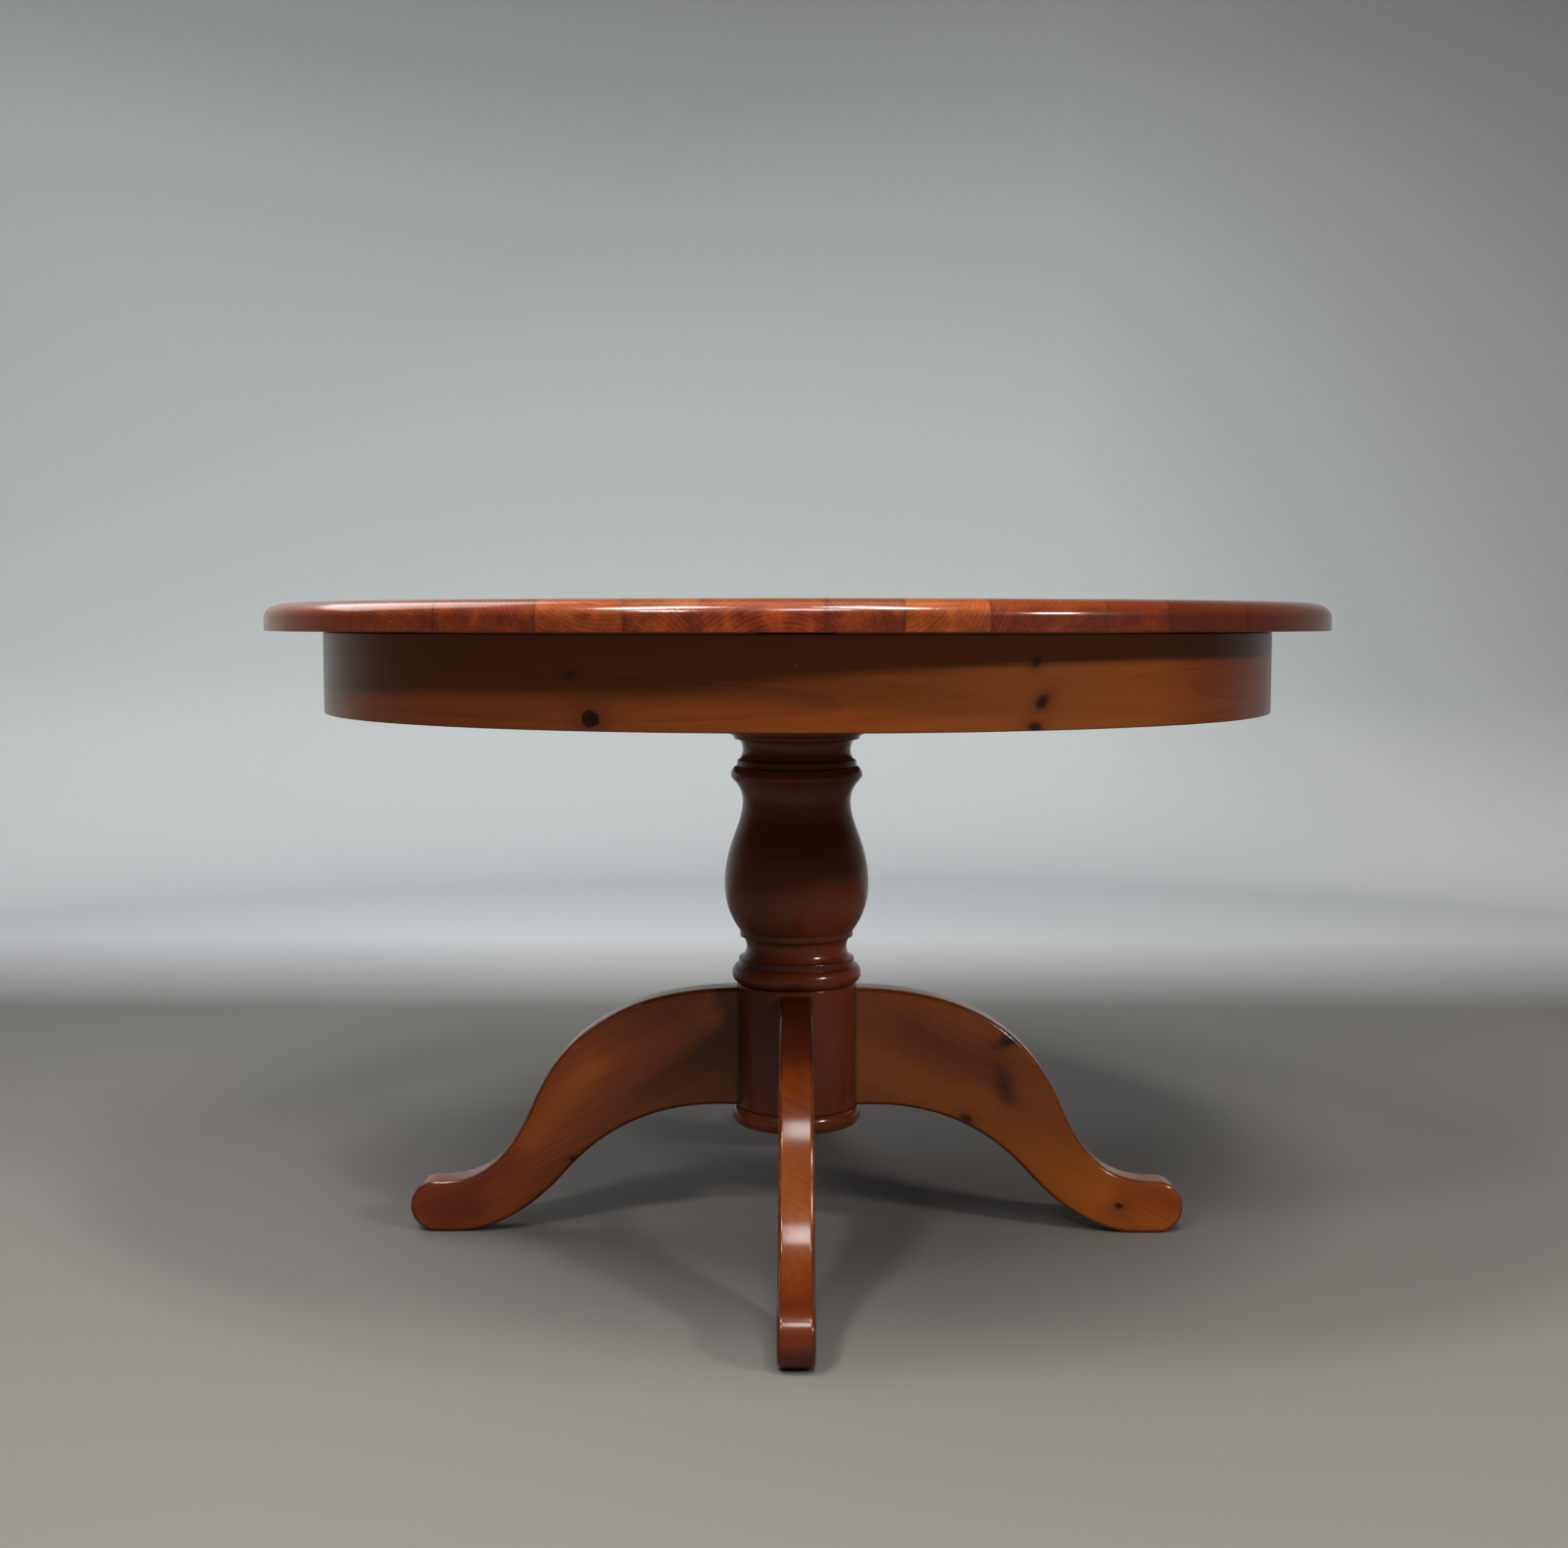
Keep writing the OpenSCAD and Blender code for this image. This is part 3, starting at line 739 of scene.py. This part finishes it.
def column_profile():
    """(radius, height) from the foot up to the tenon, drawn in mm."""
    plate = PLATE_UNDER / MM
    tenon = TENON_R / MM
    # Shaft
    shape = [(66, 153), (70.5, 153), (70.5, 298)]
    # Bead, fillet, cove, fillet
    shape += oval(68, 310, 8, 10.5, -90, 90, 24)
    shape += [(68, 328)]
    shape += oval(66.5, 341.5, -7.5, 12.5, -90, 90, 24)
    shape += [(66.5, 361)]
    # Vase, out to its belly and in to its neck, and the flare above it
    shape += curve((66.8, 361), (78.8, 377), (84.7, 395), (84.7, 415), 24)
    shape += curve((84.7, 415), (84.7, 463), (63.5, 483), (63.5, 513), 30)
    shape += curve((63.5, 513), (63.5, 525), (69, 533), (76, 540), 14)
    # Bead, fillet, cove, fillet
    shape += oval(69.6, 542.5, 7.6, 12, 0, 90, 12)
    shape += [(70.6, 554.5), (70.6, 561)]
    shape += oval(70.6, 573.5, -7.3, 12.5, -90, 90, 24)
    shape += [(73.5, 586), (73.5, 590)]
    # Head, up to the head plate, and the tenon in it
    shape += oval(73.5, 607, 10.5, 17, -90, 0, 14)
    shape += [(84, plate), (tenon, plate), (tenon, plate + 28), (tenon - 4, plate + 28)]
    return millimetres(softened(shape, 0.9))


COLUMN_GROOVES = [299, 321, 328, 354.5, 361, 539, 555, 561, 586, 590]  # heights in mm
GROOVE_REACH = 1.6  # mm
GROOVE_DARK = -0.9
POCKET_REACH = 60 * MM  # the pocket and the tenon lie nearer the axis than this, the turnings farther


def column_dust_and_shade(co):
    """The column is darker in the corners between its turnings: stain and dust gathered there, and painted
    shade.
    """
    turned = math.hypot(co.x, co.y) > POCKET_REACH
    near = min(abs(co.z / MM - groove) for groove in COLUMN_GROOVES)
    return GROOVE_DARK if turned and near < GROOVE_REACH else 0.0


def build_column(material):
    """The turned post, with the square pocket in its foot, whose corners lie on ring vertices."""
    bm, rings = revolve(column_profile(), TURNED_STEPS)
    bm.faces.new(rings[-1])
    mouth = []
    top = []
    for i in range(TURNED_STEPS):
        a = 2 * math.pi * i / TURNED_STEPS
        reach = POCKET_HALF / max(abs(math.cos(a)), abs(math.sin(a)))
        x, y = reach * math.cos(a), reach * math.sin(a)
        mouth.append(bm.verts.new((x, y, COLUMN_FOOT)))
        top.append(bm.verts.new((x, y, COLUMN_FOOT + POCKET_H)))
    bridge(bm, mouth, rings[0])
    bridge(bm, top, mouth)
    bm.faces.new(top)
    piece = make_piece("column", bm, material, flats=False)
    # The grain runs up, and the pith lies outside the column, to the left and behind
    write_grain(piece, lambda co: (co.z + 9, co.x + 0.16, co.y - 0.09))
    write_edge(piece, column_dust_and_shade)


CAP_HOLE = [(4.6, 0.0), (2.4, 2.2), (2.4, 9.0)]  # (radius, depth) in mm, sunk for the screw's head


def build_cap(material):
    """The disc under the column, with the four sunk holes of its screws."""
    low, high = CAP_LOW.z, CAP_HIGH.z
    half = (high - low) / 2 / MM - 0.25
    shape = [(64, low / MM)] + oval(68.4, low / MM + half, 7.1, half, -90, 90, 20)
    shape += [(68.4, high / MM), (64, high / MM)]
    bm, rings = revolve(millimetres(softened(shape, 0.8)), TURNED_STEPS)
    bm.faces.new(rings[-1])
    holes = []
    for a in (45, 135, 225, 315):
        turn = math.radians(a)
        centre = (CAP_SCREW_PLACE_R * math.cos(turn), CAP_SCREW_PLACE_R * math.sin(turn))
        wall = []
        for radius, depth in CAP_HOLE:
            wall.append(small_ring(bm, centre, radius * MM, low + depth * MM, CAP_HOLE_STEPS))
        for here, there in zip(wall, wall[1:]):
            bridge(bm, here, there)
        bm.faces.new(wall[-1])
        holes.append(wall[0])
    edges = []
    for ring in [rings[0]] + holes:
        for a, b in zip(ring, ring[1:] + ring[:1]):
            edges.append(bm.edges.get((a, b)))
    bmesh.ops.triangle_fill(bm, use_beauty=True, edges=edges)
    piece = make_piece("base_cap", bm, material, flats=False)
    # The grain runs from left to right
    write_grain(piece, lambda co: (co.x + 17, co.y - 0.015, co.z - 0.05))
    write_edge(piece, lambda co: 0.0)


def small_ring(bm, centre, radius, z, steps):
    """A ring of vertices about centre at the height z."""
    ring = []
    for i in range(steps):
        a = 2 * math.pi * i / steps
        ring.append(bm.verts.new((centre[0] + radius * math.cos(a), centre[1] + radius * math.sin(a), z)))
    return ring


# ---------------------------------------------------------------- legs

# Points of the outline, in mm: (distance from the column's axis, height)
KNEE = (310, 159)  # where the upper side turns from round to hollow
SHIN = (275, 71)  # the same on the lower side
HEEL = (404, 0)
TOE_X = 427.25  # the middle of the toe's round
ROOT_TOP = 293.5
ROOT_LOW = 153.5
LEG_ROWS = 12  # faces between the upper and the lower side
GRAIN_TURN = math.radians(-28)


def leg_sides():
    """The leg's upper and lower outlines from the column to the tip of the toe, point for point."""
    toe_r = TOE_R / MM
    upper = curve((60, ROOT_TOP), (170, ROOT_TOP), (264, 264), KNEE, 60)
    lower = curve((60, ROOT_LOW), (95, ROOT_LOW), (194, 165), SHIN, 60)
    both = []
    for outline in (upper, lower):
        start = [p for p in outline if p[0] > 75]
        picked = [start[round(i * (len(start) - 1) / 29)] for i in range(30)]
        both.append([(SHAFT_R / MM, outline[0][1]), (73, outline[0][1])] + picked)
    both[0] += curve(KNEE, (342, 84), (371, 2 * toe_r), (TOE_X, 2 * toe_r), 26)
    both[0] += oval(TOE_X, toe_r, toe_r, toe_r, 90, 0, 16)
    both[1] += curve(SHIN, (304, 38), (351, 0), HEEL, 26)
    both[1] += oval(TOE_X, toe_r, toe_r, toe_r, -90, 0, 16)
    return both


def leg_slices():
    """(distance from the leg's middle plane, how far the outline is drawn in) across the thickness."""
    arris = [math.radians(a) for a in (90, 68, 46, 23, 0)]
    one = [(LEG_HALF - LEG_ARRIS + LEG_ARRIS * math.sin(a), LEG_ARRIS * (1 - math.cos(a))) for a in arris]
    return [(-w, inset) for w, inset in one] + [(0.0, 0.0)] + list(reversed(one))


def build_legs():
    """The four legs, each from its own plank: where the pith lies from it is drawn by lot."""
    luck = random.Random(5)
    places = {name: (luck.uniform(0.045, 0.08), luck.uniform(-0.03, 0.03)) for name in LEGS}
    material = pine("leg_pine", LEG, leg_knots({name: side for name, (_, side) in places.items()}))
    for name, (deep, side) in places.items():
        build_leg(name, material, deep, side)


def build_leg(name, material, deep, side):
    """A leg sawn from a plank whose pith lies `deep` from its middle plane and `side` across the grain."""
    turn = math.radians(LEGS[name])
    upper, lower = [millimetres(line) for line in leg_sides()]
    outline = upper + lower[-2::-1]
    last = len(outline) - 1
    tip = len(upper) - 1
    inward = []
    for k in range(last + 1):
        before = Vector(outline[max(k - 1, 0)])
        after = Vector(outline[min(k + 1, last)])
        way = (after - before).normalized()
        inward.append((way.y, -way.x))
    inward[0] = inward[1] = (0, -1)
    inward[last] = inward[last - 1] = (0, 1)

    bm = bmesh.new()

    def vert(r, w, z):
        x = r * math.cos(turn) - w * math.sin(turn)
        y = r * math.sin(turn) + w * math.cos(turn)
        return bm.verts.new((x, y, z))

    rims = []
    roots = []
    for w, inset in leg_slices():
        root_x = math.sqrt(SHAFT_R**2 - w**2)
        places = [(x + inset * nx, z + inset * nz) for (x, z), (nx, nz) in zip(outline, inward)]
        places[0] = (root_x, places[0][1])
        places[last] = (root_x, places[last][1])
        rims.append([vert(x, w, z) for x, z in places])
        high, low = places[0][1], places[last][1]
        inner = [vert(root_x, w, high + (low - high) * m / LEG_ROWS) for m in range(1, LEG_ROWS)]
        roots.append([rims[-1][0]] + inner + [rims[-1][last]])
    for here, there in zip(rims, rims[1:]):
        bridge(bm, here, there, closed=False)
    for here, there in zip(roots, roots[1:]):
        bridge(bm, here, there, closed=False)
    for rim, root in ((rims[0], roots[0]), (rims[-1], roots[-1])):
        columns = [root]
        for k in range(1, tip):
            high, low = rim[k].co, rim[last - k].co
            inner = [bm.verts.new(high.lerp(low, m / LEG_ROWS)) for m in range(1, LEG_ROWS)]
            columns.append([rim[k]] + inner + [rim[last - k]])
        for here, there in zip(columns, columns[1:]):
            bridge(bm, here, there, closed=False)
        for a, b in zip(columns[-1], columns[-1][1:]):
            bm.faces.new((a, b, rim[tip]))
    piece = make_piece(name, bm, material, smooth_angle=40)

    def grain_of(co):
        r, w = leg_place(co, turn)
        along, across = leg_grain(r, co.z)
        return (along + LEG_OFFSET[name], across - side, w + deep)

    write_grain(piece, grain_of, lambda co: leg_tone(name, leg_place(co, turn)[0], co.z))
    write_edge(piece, lambda co: leg_wear(*leg_place(co, turn)))


def leg_place(co, turn):
    """How far co lies from the column's axis along a leg turned by `turn`, and from its middle plane."""
    r = co.x * math.cos(turn) + co.y * math.sin(turn)
    w = -co.x * math.sin(turn) + co.y * math.cos(turn)
    return r, w


def leg_grain(r, z):
    """Along and across the grain of a leg, which is sawn from a plank that slopes down to the toe."""
    along = r * math.cos(GRAIN_TURN) + z * math.sin(GRAIN_TURN)
    across = -r * math.sin(GRAIN_TURN) + z * math.cos(GRAIN_TURN)
    return along, across


def leg_tone(name, r, z):
    """The tone at a distance r from the column's axis and a height z, with the patches, some of them painted
    light and painted shade.
    """
    tone = LEG_TONE[name]
    here = Vector((r, z))
    for leg, start, end, reach, strength in LEG_PATCHES_AND_PAINTED_LIGHT:
        if leg == name:
            a, b = Vector(start) * MM, Vector(end) * MM
            along = (here - a).dot(b - a) / (b - a).length_squared
            away = (here - a.lerp(b, progress(along, 0, 1))).length / (reach * MM)
            tone += strength * math.exp(-away * away)
    return tone


def leg_wear(r, w):
    """A leg is dark where it meets the column and worn on its arrises."""
    if r < SHAFT_R + 0.5 * MM:
        return GROOVE_DARK
    return 1.0 if LEG_HALF - 0.9 * LEG_ARRIS < abs(w) < LEG_HALF - 0.05 * LEG_ARRIS else 0.0


# ---------------------------------------------------------------- parts that keep their CAD mesh

WOOD_ALONG_X = ["bearer_front", "bearer_back"]
WOOD_ALONG_Y = ["head_plate", "apron_splice_left", "apron_splice_right"]
WOOD_ALONG_Y += [f"apron_block_{i}" for i in range(1, 7)]
METAL = ["leg_bolts", "leg_washers", "leg_nuts", "base_cap_screws", "column_head_screws", "plate_bolts"]
METAL += ["plate_washers", "bearer_screws", "apron_splice_screws", "apron_block_screws"]


def dress(names, material, arris=0.0):
    """Gives CAD nodes a finish, and wooden ones an eased arris."""
    for name in names:
        node = nodes[name]
        node.data.materials.clear()
        node.data.materials.append(material)
        if arris:
            bevel = node.modifiers.new("eased arris", "BEVEL")
            bevel.width = arris
            bevel.segments = 2
            bevel.limit_method = "ANGLE"
            bevel.angle_limit = math.radians(50)


# ---------------------------------------------------------------- knots, and patches of tone, painted light and painted shade

# Each knot: place along the grain, place across it, radius, stretch, turn in degrees, softness, darkness


def apron_knots():
    """Knots of the bent apron, in mm: on the front (x, height, radius, ...), moved onto its arc. On the back
    the first number is the place along the grain, in metres."""
    front = [
        (-187, 633, 8.6, 1.1, 10, 0.14, 1.0),
        (225, 649, 6.2, 1.25, 40, 0.45, 1.0),
        (217, 625, 5.8, 1.2, 0, 0.45, 0.95),
        (218, 684, 4.0, 1.1, 60, 0.6, 0.8),
        (-206, 674, 4.0, 1.2, 0, 0.8, 0.5),
    ]
    back = [(5.31, 668, 6.5, 1.1, 0, 0.2, 1.0), (4.72, 640, 7.5, 1.2, 20, 0.3, 0.9)]
    knots = []
    for x, z, radius, *shape in front:
        along = APRON_R * math.asin(x * MM / APRON_R)
        knots.append((along, apron_across(z * MM), radius * MM, *shape))
    for along, z, radius, *shape in back:
        knots.append((along, apron_across(z * MM), radius * MM, *shape))
    return knots


# How far apart the legs' planks lie along the grain, so that no two look the same
LEG_OFFSET = {"leg_right": 0, "leg_left": 2, "leg_front": 4.7, "leg_back": 6}
LEG_TONE = {"leg_right": 0.5, "leg_left": -0.35, "leg_front": 0.0, "leg_back": 0.0}
# Patches where a leg is painted more golden (above 0) or darker (below 0), some of them painted light and
# painted shade: (leg, start, end, reach, tone), in mm.
# Start and end are (distance from the column's axis, height).
LEG_PATCHES_AND_PAINTED_LIGHT = [
    # painted light: the lit band on the left leg
    ("leg_left", (241, 199), (314, 111), 24, 1.0),
    # painted shade: the left leg's root, by the column
    ("leg_left", (76, 180), (150, 175), 34, -0.6),
    ("leg_left", (385, 28), (430, 22), 22, -0.7),
    # painted light, on this line and the next: the lit lower part of the right leg
    ("leg_right", (75, 209), (214, 147), 19, 0.9),
    ("leg_right", (214, 147), (350, 58), 24, 1.0),
    # painted shade: the upper part of the right leg
    ("leg_right", (140, 245), (228, 195), 30, -0.5),
    # painted shadow: the tabletop's shadow on the upper part of the front leg
    ("leg_front", (70, 293), (218, 262), 30, -1.6),
    ("leg_front", (300, 180), (325, 128), 20, 0.4),
    ("leg_front", (350, 80), (380, 68), 22, -0.3),
    ("leg_front", (335, 110), (385, 68), 34, -0.4),
    ("leg_front", (432, 62), (458, 15), 36, -1.5),
    ("leg_left", (300, 75), (400, 25), 40, -0.35),
    ("leg_right", (405, 30), (445, 30), 34, -0.4),
]


def leg_knots(sides):
    """Knots of the legs, in mm: (leg, distance from the column's axis, height, radius, ...)."""
    placed = [
        ("leg_right", 247, 231, 9.0, 1.35, 55, 0.55, 0.85),
        ("leg_right", 245, 178, 12.0, 1.5, -45, 0.75, 0.65),
        ("leg_right", 200, 139, 5.5, 1.3, 0, 0.45, 0.85),
        ("leg_right", 382, 33, 4.2, 1.2, 20, 0.35, 0.9),
        ("leg_left", 265, 89, 3.4, 1.1, 0, 0.3, 0.9),
        ("leg_back", 180, 215, 7.0, 1.2, 10, 0.3, 0.9),
    ]
    knots = []
    for leg, r, z, radius, *shape in placed:
        along, across = leg_grain(r * MM, z * MM)
        knots.append((along + LEG_OFFSET[leg], across - sides[leg], radius * MM, *shape))
    return knots


# ---------------------------------------------------------------- stage, lamps and camera

STAGE_R = 3.7  # the wall's radius, outside every view's camera
STAGE_H = 3.6
CURVE_R = 0.6  # the curve between the floor and the wall

# Paints; the far floor and the high back wall stand for painted light and painted shade
FLOOR = (0.166, 0.163, 0.158)
FAR_FLOOR_PAINTED_LIGHT = (0.52, 0.54, 0.56)
BACK_WALL = (0.54, 0.58, 0.59)
HIGH_WALL_PAINTED_SHADE = (0.31, 0.33, 0.33)
SIDE_WALL = (0.15, 0.15, 0.147)


def build_stage():
    """A plain round floor that curves up into a wall, which is pale only behind the table."""
    flat_r = STAGE_R - CURVE_R
    profile = [(0.5 + 0.5 * i, 0.0) for i in range(5)]
    for a in [math.radians(9 * i) for i in range(11)]:
        profile.append((flat_r + CURVE_R * math.sin(a), CURVE_R * (1 - math.cos(a))))
    profile += [(STAGE_R, 2 * CURVE_R), (STAGE_R, STAGE_H)]
    bm, rings = revolve(profile, STAGE_STEPS)
    bm.faces.new(list(reversed(rings[0])))
    mesh = bpy.data.meshes.new("studio")
    bm.to_mesh(mesh)
    bm.free()
    mesh.shade_smooth()
    studio = bpy.data.objects.new("studio", mesh)
    bpy.context.scene.collection.objects.link(studio)
    mesh.materials.append(studio_paint())


def studio_paint():
    """Matt paint that changes smoothly from the floor to the wall and from its sides to its back. The back wall
    is darker high up and towards its right, painted shade, and the floor lighter far behind the table, painted
    light.
    """
    t = Tree("studio_paint")
    place = t.node("ShaderNodeTexCoord").outputs["Object"]
    x, y, z = t.node("ShaderNodeSeparateXYZ", {0: place}).outputs
    # painted shade: the back wall darker high up and towards its right
    back = t.mix(t.spread(z, 0.4, 2.4), BACK_WALL, HIGH_WALL_PAINTED_SHADE)
    back = t.mix(t.spread(x, 0.8, 2.3, 0, 0.5), back, SIDE_WALL)
    wall = t.mix(t.spread(y, 0.6, 2.4), SIDE_WALL, back)
    # painted light: the floor lighter far behind the table
    floor = t.mix(t.spread(y, 1.3, 2.1), FLOOR, FAR_FLOOR_PAINTED_LIGHT)
    t.put(t.shader.inputs["Base Color"], t.mix(t.spread(z, 0.0, 0.5), floor, wall))
    t.put(t.shader.inputs["Roughness"], 0.8)
    t.put(t.shader.inputs["Specular IOR Level"], 0.1)
    return t.material


def softbox(name, azimuth, elevation, distance, size, power, colour, aim):
    """A rectangular light, `azimuth` degrees to the right of the front and `elevation` degrees up."""
    a, e = math.radians(azimuth), math.radians(elevation)
    data = bpy.data.lights.new(name, "AREA")
    data.shape = "RECTANGLE"
    data.size, data.size_y = size
    data.energy = power
    data.color = colour
    lamp = bpy.data.objects.new(name, data)
    away = Vector((math.sin(a) * math.cos(e), -math.cos(a) * math.cos(e), math.sin(e)))
    lamp.location = Vector(aim) + distance * away
    lamp.rotation_euler = away.to_track_quat("Z", "Y").to_euler()
    bpy.context.scene.collection.objects.link(lamp)


# Where lamps aim: at the table, at the front of its rim, at the wall behind it
TABLE = (0, -0.2, 0.5)
RIM = (0, -0.55, 0.73)
WALL = (-0.5, 3.6, 0.6)
WHITE = (1.0, 1.0, 1.0)
WARM = (1.0, 0.96, 0.9)

# Name, degrees to the right of the front, degrees up, distance, (width, height), power, colour, aim
LAMPS = [
    ("key_right", 52, 23.5, 3.6, (0.50, 0.26), 68, (1.0, 0.93, 0.84), TABLE),
    ("key_centre", 4, 51, 3.9, (0.80, 0.95), 52, (0.98, 0.96, 0.98), TABLE),
    ("key_left", -30, 40.5, 3.9, (0.50, 0.36), 62, (1.0, 0.94, 0.86), TABLE),
    ("ceiling_left", -57, 63, 2.2, (0.42, 0.90), 52, WARM, RIM),
    ("ceiling_centre", 37, 68, 2.2, (0.36, 0.95), 56, WARM, RIM),
    ("overhead", 180, 80, 2.9, (1.6, 1.6), 10, WHITE, TABLE),
    ("back", -125, 42, 3.0, (2.0, 1.5), 34, WHITE, TABLE),
    ("wall_wash", 0, 50, 2.4, (3.2, 0.4), 20.5, (0.90, 0.95, 1.0), WALL),
]
WORLD_COLOUR = (0.95, 1.0, 1.0, 1)
WORLD_STRENGTH = 0.035


def light_it():
    """Lamps for each highlight of the photograph, a few soft ones for the back, and a dim surrounding."""
    for lamp in LAMPS:
        softbox(*lamp)
    world = bpy.data.worlds.new("room")
    world.use_nodes = True
    background = world.node_tree.nodes["Background"]
    background.inputs["Color"].default_value = WORLD_COLOUR
    background.inputs["Strength"].default_value = WORLD_STRENGTH
    bpy.context.scene.world = world


CAMERA_PLACE = (0, -2.231, 0.719)
CAMERA_DOWN = 4.48  # how far it is turned from level and straight ahead, in degrees
CAMERA_LEFT = 0.38
LENS = 43.785  # mm, on a sensor 36 mm wide
GAMMA = 0.86
EXPOSURE = -0.02


def set_camera():
    """The photograph's camera, fitted to the table's outlines, and its tones."""
    data = bpy.data.cameras.new("camera")
    data.sensor_width = 36
    data.lens = LENS
    data.clip_end = 50
    camera = bpy.data.objects.new("camera", data)
    camera.location = CAMERA_PLACE
    camera.rotation_euler = (math.radians(90 - CAMERA_DOWN), 0, math.radians(CAMERA_LEFT))
    bpy.context.scene.collection.objects.link(camera)
    bpy.context.scene.camera = camera
    view = bpy.context.scene.view_settings
    view.view_transform = "Standard"
    view.gamma = GAMMA
    view.exposure = EXPOSURE


# ---------------------------------------------------------------- all of it

KNOT_CELL = (0.45, 0.16)  # along and across the boards of the top
KNOT_SIZE = 0.009

top_wood = pine("top_pine", TOP, strewn=(KNOT_CELL, KNOT_SIZE), end_axis=(0, 1, 0))
apron_wood = pine("apron_pine", APRON, apron_knots())
turned_wood = pine("turned_pine", TURNED)
bare_x = pine("bare_pine_x", BARE, grain=lengthwise("X"))
bare_y = pine("bare_pine_y", BARE, grain=lengthwise("Y"))
beech = pine("beech", BEECH, grain=lengthwise("X"))

build_top(top_wood)
build_apron(apron_wood)
build_column(turned_wood)
build_cap(turned_wood)
build_legs()

dress(WOOD_ALONG_X, bare_x, 1.5 * MM)
dress(WOOD_ALONG_Y, bare_y, 1.0 * MM)
dress(["leg_dowels"], beech)
dress(METAL, steel())

build_stage()
light_it()
set_camera()
